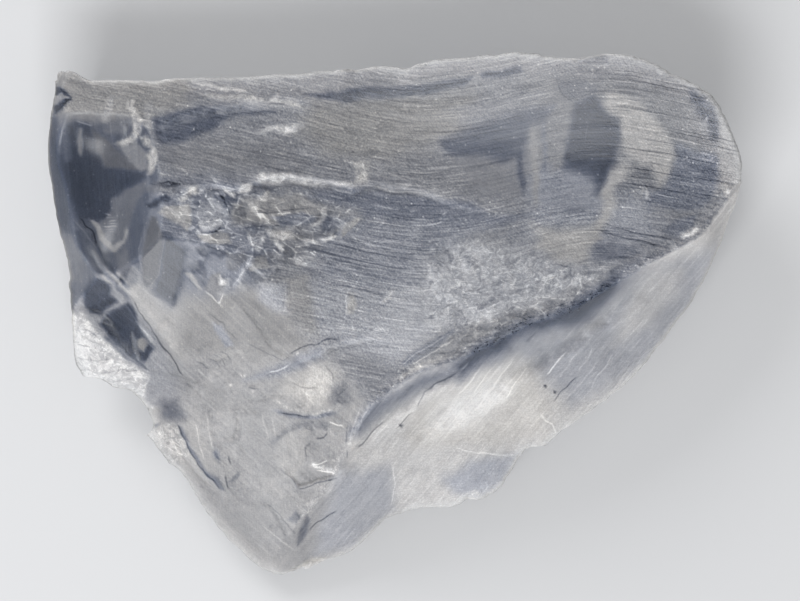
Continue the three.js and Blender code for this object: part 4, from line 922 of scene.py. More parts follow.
# The sheets meet in crisp edges, but run into each other in a wide round over the lower left
ROUND = [(-13, 7), (-3, 1), (-3, -9), (-5.5, -14), (-2, -20), (-4, -28), (-12, -28), (-24, -14), (-17, 2)]
CRISP_WIDTH, ROUND_WIDTH = 0.04, 0.45  # millimetres
blend = CRISP_WIDTH + ROUND_WIDTH * in_patch(x, y, ROUND, 2.5)
shares = np.exp((lowest - heights) / blend)
z = lowest - blend * np.log(shares.sum(0))
shares /= shares.sum(0)
milk_and_light = sum(share * tone for share, tone in zip(shares, crack_milk_and_glow))
warm = sum(share * tone for share, tone in zip(shares, crack_warm))
scratched = sum(share * tone for share, tone in zip(shares, crack_scratches))
flow_across = np.choose(winner, [flow[0] for flow in flows])
flow_along = np.choose(winner, [flow[1] for flow in flows])
flow_turn = np.radians(np.choose(winner, turns))
z -= step_cut(wx, wy) + groove_cut(wx, wy)
print("lowest and highest of the cracks, mm:", z.min(), z.max())


# %% [markdown]
# ## Laying the marks
# A mark with a hard outline looks like paint. On the stone a clear part fades into a milky one along the
# flow of its crack, and a white flaw is broken up into specks. So each mark pulls the tone towards its own
# by a share that eases over its edge, after the edge was combed along the flow.

# %% Where a line or a mark reaches
def near_mark(px, py, places, margin):
    """The places that lie within a margin of a mark's own box."""
    xs, ys = [p[0] for p in places], [p[1] for p in places]
    inside_x = (px > min(xs) - margin) & (px < max(xs) + margin)
    return inside_x & (py > min(ys) - margin) & (py < max(ys) + margin)


def walked_to(places):
    """The length of the line up to each of its points."""
    return np.r_[0, np.cumsum([math.dist(p, q) for p, q in zip(places[:-1], places[1:])])]


def line_share(px, py, places, width):
    """1 on the line, easing to 0 just beyond its half width, and tapering at both ends over 0.2 mm and 15% of
    its length."""
    lengths = walked_to(places)
    distance, _, walked = by_line(px, py, [(*p, length) for p, length in zip(places, lengths)])
    taper = 0.15 * lengths[-1] + 0.2
    ends = ease(walked / taper + 0.3) * ease((lengths[-1] - walked) / taper + 0.3)
    return (1 - ease(distance / (1.1 * width + 0.12))) * ends


# %% Lay the marks
FLAW_MILK, FLAW_WIDTH = 0.6, 0.4  # a mark milkier than the first and narrower than the second is a flaw
GOLDEN_ANGLE = 2.4  # radians from the lean of one mark's floor to that of the next
COMB_REACH, COMB_WIDTH, COMB_LENGTH = 0.7, 0.7, 5  # millimetres
SPECKLE_SIZE = 0.5  # millimetres
SPECK_SIZE = 0.25  # millimetres from the middle to the edge

flawed = np.zeros(x.shape)
comb = COMB_REACH * scratched * rough_noise(flow_across / COMB_WIDTH, flow_along / COMB_LENGTH, 15, 2)
speckle = ease(0.5 + rough_noise(x / SPECKLE_SIZE, y / SPECKLE_SIZE, 16, 2))


def lay(marks, share_of, shoulder, depth):
    """Each mark in turn pulls milkiness and warmth towards its own by its share, and lowers the ground by its
    drop times the depth, with an edge wider by the shoulder. Its floor leans to a side of its own. The edge
    of a wide soft mark is combed along the flow. A narrow white mark is a flaw, broken up into specks."""
    for n, ((mark_milk_and_light, mark_warm), width, drop, places) in enumerate(marks):
        here = near_mark(wx, wy, places, 3 * width + shoulder + 1)
        hx, hy, turn = wx[here], wy[here], flow_turn[here]
        combed = comb[here] * ease((width - 0.3) / 0.9)
        share = share_of(hx + combed * np.cos(turn), hy + combed * np.sin(turn), places, width)
        if mark_milk_and_light > FLAW_MILK and width < FLAW_WIDTH:
            flawed[here] = np.maximum(flawed[here], share)
            share = share * (1 - 0.35 * speckle[here])
        milk_and_light[here] += (mark_milk_and_light - milk_and_light[here]) * share
        warm[here] += (mark_warm - warm[here]) * share
        if drop:
            middle, reach = np.mean(places, 0), 0.5 * np.ptp(places, 0).max()
            side_x, side_y = math.cos(GOLDEN_ANGLE * n), math.sin(GOLDEN_ANGLE * n)
            lean = ((hx - middle[0]) * side_x + (hy - middle[1]) * side_y) / reach
            z[here] -= depth * drop * (1 + 0.8 * lean) * share_of(hx, hy, places, width + shoulder)


lay(AREAS, in_patch, shoulder=0.12, depth=0.45)
lay(LINES, line_share, shoulder=0.10, depth=0.4)
for (speck_milk_and_light, _), speck_x, speck_y in SPECKS:
    milk_and_light += (speck_milk_and_light - milk_and_light) * (1 - ease(np.hypot(x - speck_x, y - speck_y) / SPECK_SIZE))
print("milkiness from", milk_and_light.min(), "to", milk_and_light.max())


# %% Measure the hairlines
HAIR_END, HAIR_REACH, HAIR_TIE = 0.4, 0.3, 0.25  # millimetres


def hairlines(lines):
    """For the nearest hairline: the distance to it, under 0 on its left, and how much it adds to the
    milkiness. The change fades out at its ends, beyond its reach, and where the next hairline is as near,
    because the sign may jump there."""
    signed, nearest, change = np.full(x.shape, 1.0), np.full(x.shape, 9.0), np.zeros(x.shape)
    for strength, places in lines:
        here = near_mark(wx, wy, places, 1.0)
        lengths = walked_to(places)
        distance, right, walked = by_line(wx[here], wy[here], [(*p, w) for p, w in zip(places, lengths)])
        ends = ease(walked / HAIR_END) * ease((lengths[-1] - walked) / HAIR_END)
        reach = 1 - ease((distance - HAIR_REACH) / HAIR_REACH)
        new_change = strength * ends * reach
        closer = distance < nearest[here]
        tie = ease(abs(distance - nearest[here]) / HAIR_TIE)
        change[here] = np.where(closer, new_change, change[here]) * tie
        signed[here] = np.where(closer, np.where(right > 0, distance, -distance), signed[here])
        nearest[here] = np.minimum(distance, nearest[here])
    return np.clip(signed, -1, 1), change


hair_side, hair_change = hairlines(HAIRLINES)
print("share of the ground that a hairline reaches:", (hair_change != 0).mean())

# %% [markdown]
# ## Rough zones
# Some ground was torn: the broken zone under the long step, the crushed zone behind the crest, the crest
# itself and the rim. Noise would make it lumpy, like clay, and torn crystal is made of small flat faces. So
# each zone gets layers of facets, large ones first. A zone also says how the material draws what is finer
# than the mesh: as chips, as crushed shreds, as scratches or as ruled lines.

# %% Rough zones: corners x, y
BROKEN = [
    (-24.4, 14.1), (-16.4, 13.6), (-6.4, 12.6), (-4.2, 10.1), (-6.4, 7.1), (-8.4, 4.4), (-13.0, 3.6),
    (-16.8, 1.6), (-20.0, 4.6), (-22.2, 9.0),
]
CRUMBS = [
    (-22, 12.8), (-15.4, 12.4), (-9, 10.4), (-3.4, 10), (-6.4, 7.1), (-8, 5.2), (-12.4, 5.2), (-17.4, 6.4),
    (-20.4, 8.6),
]
CRUSHED = [
    (3.6, 7.4), (8.6, 8.0), (12.8, 6.2), (17.8, 5.0), (21.6, 5.4), (20.6, 2.6), (16.6, 0.4), (10.6, -1.9),
    (6.1, -2.9), (3.6, -1.4), (3.0, 2.6),
]
LOWER = [
    (-20.4, -2.4), (-6.4, -3.4), (-4.4, -8.4), (-4.9, -15.4), (-9.4, -20.4), (-16.4, -18.4), (-21.4, -10.4),
]
LEFT_SPLINTERS = [(-33, 10), (-29.4, 9), (-26.4, 6), (-22, 0), (-21, -6), (-25, -6), (-31, 0), (-32.8, 5)]
TOP_SPLINTERS = [(-30.4, 21.4), (-24, 22), (-22.8, 18), (-23.4, 14), (-28.4, 17)]
broken = in_patch(wx, wy, BROKEN, 1.2)
crumbs = in_patch(wx, wy, CRUMBS, 1.0)
crushed = in_patch(wx, wy, CRUSHED, 1.2)
lower = in_patch(wx, wy, LOWER, 1.8)
splinters = in_patch(wx, wy, LEFT_SPLINTERS, 1.0) + in_patch(wx, wy, TOP_SPLINTERS, 0.8)
crest_distance, _, _ = by_line(wx, wy, CREST + CREST_TAIL)
CREST_WIDTH, NIBBLED_WIDTH = 1.4, 0.9  # millimetres
bevel_wins = winner == 1
crumbly = (1 - ease(crest_distance / CREST_WIDTH - 0.2)) * np.where(bevel_wins, 0.25, 1.0)
to_rim = np.hypot(*(spot - facing).transpose(2, 0, 1))
nibbled = 1 - ease(to_rim / NIBBLED_WIDTH)
print("share of the ground that is broken:", broken.mean(), "crushed:", crushed.mean())

# %% Facets in the rough zones: zone, size, lift, tilt, hollow, wall, turn, stretch, painted shade on milkiness
LAYERS = [
    (broken, 2.4, 0.09, 0.07, 0.06, 0.14, -38, 1.5, 0.07),
    (crumbs, 1.1, 0.05, 0.08, 0.04, 0.14, -10, 1.4, 0.07),
    (crushed, 2.0, 0.12, 0.10, 0.12, 0.30, 30, 1.4, 0.05),
    (crushed, 0.9, 0.05, 0.12, 0.00, 0.20, -10, 1.4, 0.06),
    (lower, 4.2, 0.08, 0.04, 0.04, 0.40, -50, 1.7, 0.03),
    (lower, 1.6, 0.02, 0.04, 0.02, 0.25, -30, 1.5, 0.02),
    (splinters, 1.8, 0.05, 0.05, 0.04, 0.25, -55, 2.4, 0.02),
    (crumbly, 0.8, 0.05, 0.12, 0.05, 0.20, 30, 1.5, 0.03),
    (nibbled, 1.2, 0.05, 0.10, 0.05, 0.25, 0, 1.3, 0.02),
]
FIRST_LAYER_SEED = 300
# Each face's own number times the shade is painted light and shade, as if each splinter caught the light its
# own way, and the edges between uneven faces get painted glints
for n, (zone, *form, shade) in enumerate(LAYERS):
    height, tone, glint = facets(wx, wy, *form, FIRST_LAYER_SEED + n)
    z += zone * height
    milk_and_light += zone * shade * (tone + 2.0 * glint)
print("highest point, mm:", z.max(), "lowest on the rim:", z[ring == HALF].min())

# %% Ground ruled with fine dark lines along the flow: strength, soft edge, corners x, y
RULED = [
    (1.0, 2.0, [(19, 26), (30, 24.6), (35, 18), (33, 11), (28, 9), (23, 14), (21, 19)]),
    (0.8, 0.8, [(19.6, 10.4), (29, 9.4), (27.4, 6.8), (22, 5.4), (19.4, 7)]),
    (0.6, 1.6, [(-8, 9), (4, 9), (6, 4), (1, 0), (-8, 2)]),
    (0.5, 1.5, [(4, 20), (16, 21.6), (16, 13), (4, 14)]),
    (0.4, 1.5, [(-20, 17), (-4, 17), (-4, 14), (-20, 14)]),
    (0.5, 1.0, [(0, -5), (6, -1.4), (8, -4), (0, -8), (-4, -12)]),
]
ruled = np.zeros(x.shape)
for strength, soft, places in RULED:
    ruled = np.maximum(ruled, strength * in_patch(wx, wy, places, soft))
print("share of the ground that is ruled:", (ruled > 0).mean())

# %% What the zones do to the finish
chipped = np.clip(0.25 * broken + 0.5 * crumbs + 0.4 * crushed + 0.08 * lower + 0.1 * splinters, 0, 1)
chipped = np.maximum(chipped, 0.3 * flawed)
torn_zones = 0.15 * broken * crumbs + 0.7 * crushed + 0.6 * crumbly + 0.3 * nibbled + 0.2 * lower
rough_ground = np.maximum(np.clip(torn_zones, 0, 1), 0.7 * flawed)
# The very rim is painted a little lighter, a painted glow where the thin edge lets light through, and creamy:
# a line a third of a millimetre wide
milk_and_light += 0.06 * (1 - ease(to_rim / 0.35))
warm += (0.9 - warm) * (1 - ease(to_rim / 0.4))
# Blue clear ground shows more of its scratches than cream milky ground, and the lobes are nearly smooth
LOBES = [
    [(17, 21.6), (20.7, 21.6), (22.6, 17), (21.4, 11), (16.4, 10.4)],
    [(5, 17), (15.8, 21), (15.6, 11), (8, 12.4)],
]
scratched *= 1 - 0.6 * np.maximum(crushed, np.maximum(flawed, 0.6 * crumbs))
scratched *= 1.2 - 0.6 * warm
for places in LOBES:
    scratched *= 1 - 0.55 * in_patch(wx, wy, places, 0.8)
print("scratches from", scratched.min(), "to", scratched.max())

# %% [markdown]
# ## The sides and the underside
# The stone lies on a flat cleavage face. Round it the sides rise and lean out to the rim. They are flaked in
# shallow hollows, with a few level ledges, because petalite splits parallel to the face that it lies on. A
# solidified skin would give a rim of even thickness, so the sides are rows of points instead, drawn from
# each point of the rim down to the foot and pushed in by the flakes.

# %% Foot outline: x, y, and 1 where there is a corner
FOOT = [
    (-29.5, 19.5, 1), (-17.0, 21.0, 0), (-2.0, 22.0, 0), (13.0, 23.0, 0), (24.0, 21.5, 0), (29.5, 16.0, 0),
    (28.5, 6.5, 0), (22.0, -3.0, 0), (13.5, -9.5, 0), (6.5, -14.5, 0), (-3.5, -18.0, 0), (-9.0, -21.5, 1),
    (-13.0, -21.0, 0), (-18.5, -14.0, 0), (-21.5, -7.5, 1), (-28.0, -2.5, 1), (-30.0, 7.0, 0),
]
FOOT_COUNT = 720


def seen_from_centre(curve, targets):
    """For each target, the point of the curve in the same direction from the centre."""
    offset = curve - CENTRE
    bearing = np.arctan2(offset[:, 1], offset[:, 0])
    order = np.argsort(bearing)
    wanted = np.arctan2(targets[:, 1] - CENTRE[1], targets[:, 0] - CENTRE[0])
    radius = np.interp(wanted, bearing[order], np.hypot(*offset[order].T), period=2 * math.pi)
    return CENTRE + radius[:, None] * np.c_[np.cos(wanted), np.sin(wanted)]


# The rim in the order that the outer ring of the grid runs, clockwise from the upper left
up, full, low = np.arange(2 * HALF), np.full(2 * HALF, 2 * HALF), np.zeros(2 * HALF, int)
back = np.arange(2 * HALF, 0, -1)
rim_index = np.r_[full, back, low, up] * SIDE + np.r_[up, full, back, low]
rim_xy = np.c_[x.ravel()[rim_index], y.ravel()[rim_index]]
rim_z = z.ravel()[rim_index]
foot = seen_from_centre(closed_curve(FOOT, FOOT_COUNT), rim_xy)
print("from rim to foot, mm, seen from above:", np.hypot(*(rim_xy - foot).T).mean())

# %% Sides
WALL_ROWS = 25
WALL_SWELL = 0.82  # under 1 the wall swells outwards on its way up
WALL_INSET = 0.9  # millimetres
LEDGES = [2.2, 4.6, 7.3, 9.6]  # millimetres above the ground
LEDGE_HEIGHT, LEDGE_EDGE = 0.45, 0.8  # millimetres

down = (np.arange(1, WALL_ROWS + 1) / WALL_ROWS)[:, None]  # 1 at the foot
rise = 1 - down
wall_z = rim_z * rise
arc = np.r_[0, np.cumsum(np.linalg.norm(np.diff(rim_xy, axis=0), axis=1))]
way_round = arc[-1] + np.linalg.norm(rim_xy[0] - rim_xy[-1])
arc = np.broadcast_to(arc, wall_z.shape)
scoops, scoop_tone, scoop_glint = facets(
    arc, wall_z, size=7.0, lift=1.5, tilt=0.16, hollow=2.8, wall=0.6, turn=0, stretch=1.5, seed=401,
    around=way_round, ripple=0.16,
)
flakes, flake_tone, _ = facets(
    arc, wall_z, size=2.6, lift=0.22, tilt=0.16, hollow=0.30, wall=0.5, turn=0, stretch=1.6, seed=402,
    around=way_round,
)
wavy = 0.4 * rough_noise(rim_xy[:, 0] / 6, rim_xy[:, 1] / 6, 410)
ledge_size = ease(0.5 + rough_noise(rim_xy[:, 0] / 9, rim_xy[:, 1] / 9, 420))
ledge_cut = ledge_size * sum(
    LEDGE_HEIGHT * ease((level + wavy - wall_z) / LEDGE_EDGE + 0.5) for level in LEDGES
)
inside_rim = ease(down / 0.12) * ease(rise / 0.15)  # the rim and the foot stay where they are
inset = (WALL_INSET - scoops - flakes - 0.4 * ledge_cut) * inside_rim
wall_xy = foot[None] + (rim_xy - foot)[None] * (rise**WALL_SWELL)[..., None]
toward = CENTRE - rim_xy
toward /= np.linalg.norm(toward, axis=1)[:, None]
wall_xy = wall_xy + toward[None] * inset[..., None]
print("sides rise to", rim_z.max(), "mm, way round", way_round)

# %% [markdown]
# ## Closing the mesh
# The rows of the wall keep one point for each rim point. One face with a thousand corners could close the
# foot, but it couldn't carry the low terraces where a thin layer came away. So the first ring under the
# stone has half as many points, a dozen rings carry the terraces, and then each ring halves again, which
# keeps the flat face to few triangles.

# %% Rings under the stone
BASE_RINGS = 14
SMALLEST_RING = 16


def base_rings(outer, first):
    """Rings that close the flat face. Each is the outer ring drawn in by a share of the way to the centre.
    One with half the points follows the foot, then come rings of equal count, then halving rings down to a
    point in the middle."""
    shares = [1 - n / (BASE_RINGS + 4) for n in range(1, BASE_RINGS + 1)]
    rings, triangles = [], []
    before, size, start = first, len(outer), first + len(outer)
    every = 1
    halving = True
    while size > SMALLEST_RING:
        share = shares.pop(0) if shares else share * 0.7
        if halving:
            every, half_size = every * 2, size // 2
            i = np.arange(half_size)
            o0, o1, o2 = before + 2 * i, before + 2 * i + 1, before + (2 * i + 2) % size
            n0, n1 = start + i, start + (i + 1) % half_size
            triangles += [np.c_[o0, o1, n0], np.c_[o1, n1, n0], np.c_[o1, o2, n1]]
            size = half_size
        else:
            i = np.arange(size)
            o0, o1, n0, n1 = before + i, before + (i + 1) % size, start + i, start + (i + 1) % size
            triangles += [np.c_[o0, o1, n0], np.c_[o1, n1, n0]]
        rings.append(CENTRE + (outer[::every] - CENTRE) * share)
        before, start = start, start + size
        halving = not shares
    i = np.arange(size)
    triangles.append(np.c_[before + i, before + (i + 1) % size, np.full(size, start)])
    rings.append(CENTRE[None])
    return np.concatenate(rings), np.concatenate(triangles)


# %% Terraces on the flat face
TERRACE_HEIGHT, TERRACE_EDGE = 0.12, 0.08  # millimetres, and the noise that an edge spans
TERRACE_LEVELS = (0.25, 0.55, 0.8, 1.1)  # of the noise
FLAT_FROM, FLAT_FADE = 0.97, 0.06  # shares of the way out from the middle: beyond them the foot is flat

foot_ring = wall_xy[-1]
foot_start = x.size + (WALL_ROWS - 1) * RIM_COUNT
base_xy, base_faces = base_rings(foot_ring, foot_start)
base_x, base_y = base_xy.T
reach = np.hypot(*(base_xy - CENTRE).T) / np.hypot(*(seen_from_centre(foot_ring, base_xy) - CENTRE).T)
layers = 1.5 * rough_noise(base_x / 14, base_y / 9, 430, 4)
terraces = sum(TERRACE_HEIGHT * ease((layers - level) / TERRACE_EDGE) for level in TERRACE_LEVELS)
base_z = terraces * ease((FLAT_FROM - reach) / FLAT_FADE)
print("terraces reach", base_z.max(), "mm; share of the base that touches:", (base_z < 0.01).mean())

# %% Join everything into one mesh
top_points = np.c_[x.ravel(), y.ravel(), z.ravel()]
cell = (np.arange(SIDE - 1)[:, None] * SIDE + np.arange(SIDE - 1)).ravel()
# Each cell is cut along the diagonal that runs outwards from the middle
cell_x, cell_y = grid_x[:-1, :-1] + grid_x[1:, 1:], grid_y[:-1, :-1] + grid_y[1:, 1:]
upper_left_way = (cell_x * cell_y < 0).ravel()
p00, p10, p01, p11 = cell, cell + 1, cell + SIDE, cell + SIDE + 1
top_faces = np.concatenate([
    np.c_[p00, p10, p11][~upper_left_way], np.c_[p00, p11, p01][~upper_left_way],
    np.c_[p00, p10, p01][upper_left_way], np.c_[p10, p11, p01][upper_left_way],
])
wall_points = np.c_[wall_xy.reshape(-1, 2), wall_z.ravel()]
row_starts = len(top_points) + np.arange(WALL_ROWS) * RIM_COUNT
below = row_starts[:, None] + np.arange(RIM_COUNT)
above = np.concatenate([rim_index[None], below[:-1]])
above_next, below_next = np.roll(above, -1, 1), np.roll(below, -1, 1)
wall_faces = np.concatenate([
    np.c_[above.ravel(), above_next.ravel(), below.ravel()],
    np.c_[above_next.ravel(), below_next.ravel(), below.ravel()],
])
points = np.concatenate([top_points, wall_points, np.c_[base_xy, base_z]])
faces = np.concatenate([top_faces, wall_faces, base_faces])
print("points:", len(points), "triangles:", len(faces))

# %% Make the mesh
mesh = bpy.data.meshes.new("petalite_shard")
mesh.from_pydata((points * MM).tolist(), [], faces.tolist())
mesh.update()
print("mesh valid:", not mesh.validate())
mesh.polygons.foreach_set("use_smooth", np.ones(len(faces), bool))
shard = bpy.data.objects.new("petalite_shard", mesh)
bpy.context.scene.collection.objects.link(shard)
corners = points[faces]
volume = np.einsum("ij,ij->i", corners[:, 0], np.cross(corners[:, 1], corners[:, 2])).sum() / 6
print("volume, mm3:", volume)

# %% [markdown]
# ## What each point knows
# The material reads eleven numbers at each point of the mesh. Two are its tone: milkiness, which also carries
# the painted light and shade of the marks, and warmth. Five say how the ground looks: crushed, ruled,
# scratched, polished or chipped. Two are for the hairlines: the distance to the nearest and what it adds. Two
# give the place in the crack's flow, across and along, in millimetres. Nodes could work out one mark, but not
# three hundred, so the numbers are stored on the mesh. On the sides the tone comes down from the rim and
# turns to that of a fresh flaked side, with a faint painted glint on the edges of the scoops.

# %% Tones of the sides and the underside
SIDE_MILK, SIDE_WARM, BASE_MILK = 0.63, 0.45, 0.60
RIM_FADE = 0.35  # share of the way down over which the tone of the rim gives way to that of the side
rim_milk_and_light, rim_warm = milk_and_light.ravel()[rim_index], warm.ravel()[rim_index]
fade = ease(down / RIM_FADE)
# The edges of the scoops get a faint painted glint
wall_milk_and_light = rim_milk_and_light * (1 - fade) + (SIDE_MILK + 0.10 * scoop_tone + 0.04 * scoop_glint) * fade
wall_warm = rim_warm * (1 - fade) + (SIDE_WARM + 0.15 * scoop_tone) * fade
wall_rough = (1 - fade) * 0.4 + 0.12 * ease(flake_tone)
base_milk = BASE_MILK + 0.12 * rough_noise(base_x / 5, base_y / 4, 440) + 0.3 * base_z
print("milkiness of the sides from", wall_milk_and_light.min(), "to", wall_milk_and_light.max())

# %% Store them
# Millimetres across the flow that keep apart the patterns of the cracks, the sides and the underside
CRACK_APART, WALL_APART, BASE_APART = 40.0, 300, 400
STORED = {  # on the upper surface, on the rows of the wall, on the base
    "milk_and_light": (np.clip(milk_and_light, 0, 1), np.clip(wall_milk_and_light, 0, 1), np.clip(base_milk, 0, 1)),
    "warm": (np.clip(warm, 0, 1), np.clip(wall_warm, 0, 1), 0.5),
    "crushed": (rough_ground, np.clip(wall_rough, 0, 1), 0.3),
    "ruled": (ruled, 0, 0),
    "scratched": (scratched, 0.05, 0.1),
    "polished": (0, np.broadcast_to(fade, wall_z.shape), 0.4),
    "hair_side": (hair_side, 1, 1),
    "hair_change": (hair_change, 0, 0),
    "chipped": (chipped, 0.06, 0.10),
    "across": (flow_across + CRACK_APART * winner, wall_z + WALL_APART, base_y + BASE_APART),
    "along": (flow_along, arc, base_x),
}
for name, parts in STORED.items():
    sizes = (x.size, wall_z.size, len(base_xy))
    values = np.concatenate([np.broadcast_to(np.ravel(part), size) for part, size in zip(parts, sizes)])
    mesh.attributes.new(name, "FLOAT", "POINT").data.foreach_set("value", values.astype(np.float32))
print("numbers stored at each point:", len(STORED))

# %% [markdown]
# ## Petalite
# Petalite has a glassy lustre, pearly on its cleavage. This one is clear in places and milky in most, because
# fine cracks and bubbles scatter the light inside it. A crystal like this can be made with glass and a fog
# volume, which is slow and noisy, so here one shader does both: scattering under the surface for the milk,
# and plain rough transmission with a faint blue absorption for the clear parts, shared out by the milkiness.

# %% Start the material, and a helper that adds a node
petalite = bpy.data.materials.new("petalite")
petalite.use_nodes = True
tree = petalite.node_tree
shader = tree.nodes["Principled BSDF"]
MATH, VECTOR, RAMP = "ShaderNodeMath", "ShaderNodeVectorMath", "ShaderNodeValToRGB"
NOISE, CELLS = "ShaderNodeTexNoise", "ShaderNodeTexVoronoi"


def linear(colour):
    """Turns an sRGB hex colour such as "C9CCD2" to linear red, green, blue and full alpha."""
    part = np.array([int(colour[i:i + 2], 16) for i in (0, 2, 4)]) / 255
    return (*np.where(part <= 0.04045, part / 12.92, ((part + 0.055) / 1.055) ** 2.4), 1)


def add(kind, settings=None, stops=(), **links):
    """Adds a node. settings are its own properties. stops are a ramp's places, each with a hex colour or a
    grey number. links are numbers, nodes (their first output) or sockets for its inputs by name: an
    underscore stands for a space, and a number after in_ picks an input by its place."""
    node = tree.nodes.new(kind)
    for name, value in (settings or {}).items():
        setattr(node, name, value)
    for n, (place, tone) in enumerate(stops):
        element = node.color_ramp.elements[n] if n < 2 else node.color_ramp.elements.new(place)
        element.position = place
        element.color = linear(tone) if isinstance(tone, str) else (tone, tone, tone, 1)
    for name, value in links.items():
        socket = node.inputs[int(name[3:])] if name[:3] == "in_" else node.inputs[name.replace("_", " ")]
        if isinstance(value, bpy.types.Node):
            value = value.outputs[0]
        if isinstance(value, bpy.types.NodeSocket):
            tree.links.new(value, socket)
        else:
            socket.default_value = value
    return node


def total(*parts):
    """The sum of the parts, each a number, a node or a socket."""
    return reduce(lambda one, other: add(MATH, {"operation": "ADD"}, in_0=one, in_1=other), parts)


def product(*parts):
    """The parts multiplied together."""
    return reduce(lambda one, other: add(MATH, {"operation": "MULTIPLY"}, in_0=one, in_1=other), parts)


# %% Read the stored numbers back
known = {name: add("ShaderNodeAttribute", {"attribute_name": name}).outputs["Fac"] for name in STORED}
flow = add("ShaderNodeCombineXYZ", in_0=known["along"], in_1=known["across"])
place_here = add("ShaderNodeTexCoord").outputs["Object"]
print("numbers that the material reads:", len(known))


# %% [markdown]
# ### Scratches, chips and shreds
# Everything finer than a mesh cell is drawn here, at its real size in millimetres. Scratches are noise
# squeezed across the flow, because a crack drags them along its way. Chips are cells that lean, each its own
# way, so that they catch the light one by one; each also gets a painted tone and a painted glint along its
# edge, and a few dots get painted sparkles. Image textures could hold such patterns, but these follow the
# flow of each crack and never repeat.

# %% Patterns, with sizes in millimetres
def crisp(pattern, low, high):
    """Stretches a pattern so that low becomes 0 and high becomes 1."""
    return add(RAMP, stops=[(low, 0.0), (high, 1.0)], in_0=pattern)


def line_at(pattern, level, half_width, soft_width):
    """1 where a pattern crosses a level, easing to 0 between the two widths: its contour lines."""
    off = add(MATH, {"operation": "ABSOLUTE"}, in_0=total(pattern, -level))
    return add(RAMP, stops=[(half_width, 1.0), (soft_width, 0.0)], in_0=off)


def swing(pattern, amount):
    """A pattern from 0 to 1 as a swing of plus or minus half an amount."""
    return product(total(pattern, -0.5), amount)


def streaks(width, length, detail, turn=0):
    """Noise squeezed across the flow, or across a line turned from it: width and length in millimetres."""
    turned = add("ShaderNodeVectorRotate", {"rotation_type": "Z_AXIS"}, Vector=flow, Angle=math.radians(turn))
    where = add(VECTOR, {"operation": "MULTIPLY"}, in_0=turned, in_1=(1 / length, 1 / width, 1))
    return add(NOISE, Vector=where, Scale=1.0, Detail=detail, Roughness=0.6).outputs["Fac"]


def grains(kind, size, **links):
    """A pattern with cells of a size in millimetres, fixed in the stone."""
    return add(kind, Vector=place_here, Scale=1 / (size * MM), **links)


def chips(width, length):
    """Flat splinters, one to a cell: a number for each cell, the height of (place - middle) . (colour - 0.5),
    which leans each its own way, and the place in cells."""
    where = add(VECTOR, {"operation": "MULTIPLY"}, in_0=flow, in_1=(1 / length, 1 / width, 1))
    cells = add(CELLS, Vector=where, Scale=1.0)
    off = add(VECTOR, {"operation": "SUBTRACT"}, in_0=where, in_1=cells.outputs["Position"])
    lean = add(VECTOR, {"operation": "SUBTRACT"}, in_0=cells.outputs["Color"], in_1=(0.5, 0.5, 0.5))
    height = add(VECTOR, {"operation": "DOT_PRODUCT"}, in_0=off, in_1=lean).outputs["Value"]
    return add("ShaderNodeSeparateColor", in_0=cells.outputs["Color"]).outputs[2], height, where


# %% Scratches and grain
broad = streaks(0.7, 16, 2.0)
fine = crisp(streaks(0.20, 3, 1.0), 0.34, 0.66)
hatch = crisp(streaks(0.12, 1.0, 1.0, 48), 0.34, 0.66)
dark_lines = add(RAMP, stops=[(0.34, 1.0), (0.44, 0.0)], in_0=streaks(0.26, 14, 2.0))
light_lines = crisp(streaks(0.22, 4, 1.0), 0.60, 0.68)
cloud = grains(NOISE, 1.8, Detail=2.0, Roughness=0.7).outputs["Fac"]
dust = crisp(grains(NOISE, 0.16, Detail=1.0, Roughness=0.6).outputs["Fac"], 0.32, 0.68)
on_hairline = line_at(known["hair_side"], 0.0, 0.03, 0.11)
print("nodes so far:", len(tree.nodes))

# %% Chips, crushed shreds and painted sparkles
big_cell, big_height, big_place = chips(1.0, 1.7)
small_cell, small_height, _ = chips(0.34, 0.55)
# Painted glints: a thin lighter line along the edge of each big chip
to_edge = add(CELLS, {"feature": "DISTANCE_TO_EDGE"}, Vector=big_place, Scale=1.0)
chip_edge_glint = add(RAMP, stops=[(0.02, 1.0), (0.07, 0.0)], in_0=to_edge)
shreds = grains(NOISE, 1.0, Detail=3.0, Roughness=0.7, Distortion=2.2).outputs["Fac"]
light_veins = line_at(shreds, 0.53, 0.004, 0.018)
dark_veins = line_at(shreds, 0.46, 0.003, 0.014)
# Painted sparkles: a few small bright dots
dots = grains(CELLS, 0.6)
dot_chosen = crisp(add("ShaderNodeSeparateColor", in_0=dots.outputs["Color"]), 0.66, 0.70)
dot = add(RAMP, stops=[(0.10, 1.0), (0.20, 0.0)], in_0=dots.outputs["Distance"])
sparkle = product(dot, dot_chosen)
# A few chips are painted light, as if they caught the light, a few are clear, and the rest are alike. Crushed
# ground is shreds of the same
FLECKS = [(0.0, 0.15), (0.10, 0.15), (0.13, 0.42), (0.70, 0.58), (0.84, 0.62), (0.86, 1.0), (1.0, 1.0)]
TEARS = [(0.36, 0.15), (0.42, 0.44), (0.56, 0.56), (0.62, 0.9)]
flecks = add(RAMP, stops=FLECKS, in_0=small_cell)
tears = add(RAMP, stops=TEARS, in_0=shreds)
# Each chip gets a painted tone of its own, as if it caught the light its own way, with painted glints at its
# edges
painted_chip_light = total(swing(big_cell, 0.16), swing(flecks, 0.20), product(small_cell, 0.42, chip_edge_glint))
print("nodes so far:", len(tree.nodes))

# %% [markdown]
# ### Milkiness, and the light painted into it
# Every pattern shifts the milkiness, and the milkiness decides all the rest: colour, clearness and gloss. A
# separate mix for each finish would let them drift apart, so that a clear streak could be matt. Clear stone
# hides its scratches, which lie in front of the dark, and shows its painted sparkles. The painted tones and
# glints of the chips join the milkiness here too.

# %% Milkiness and painted light at each place
HIDING = [(0.05, 0.60), (0.45, 1.0)]  # how much of the scratches shows at each milkiness
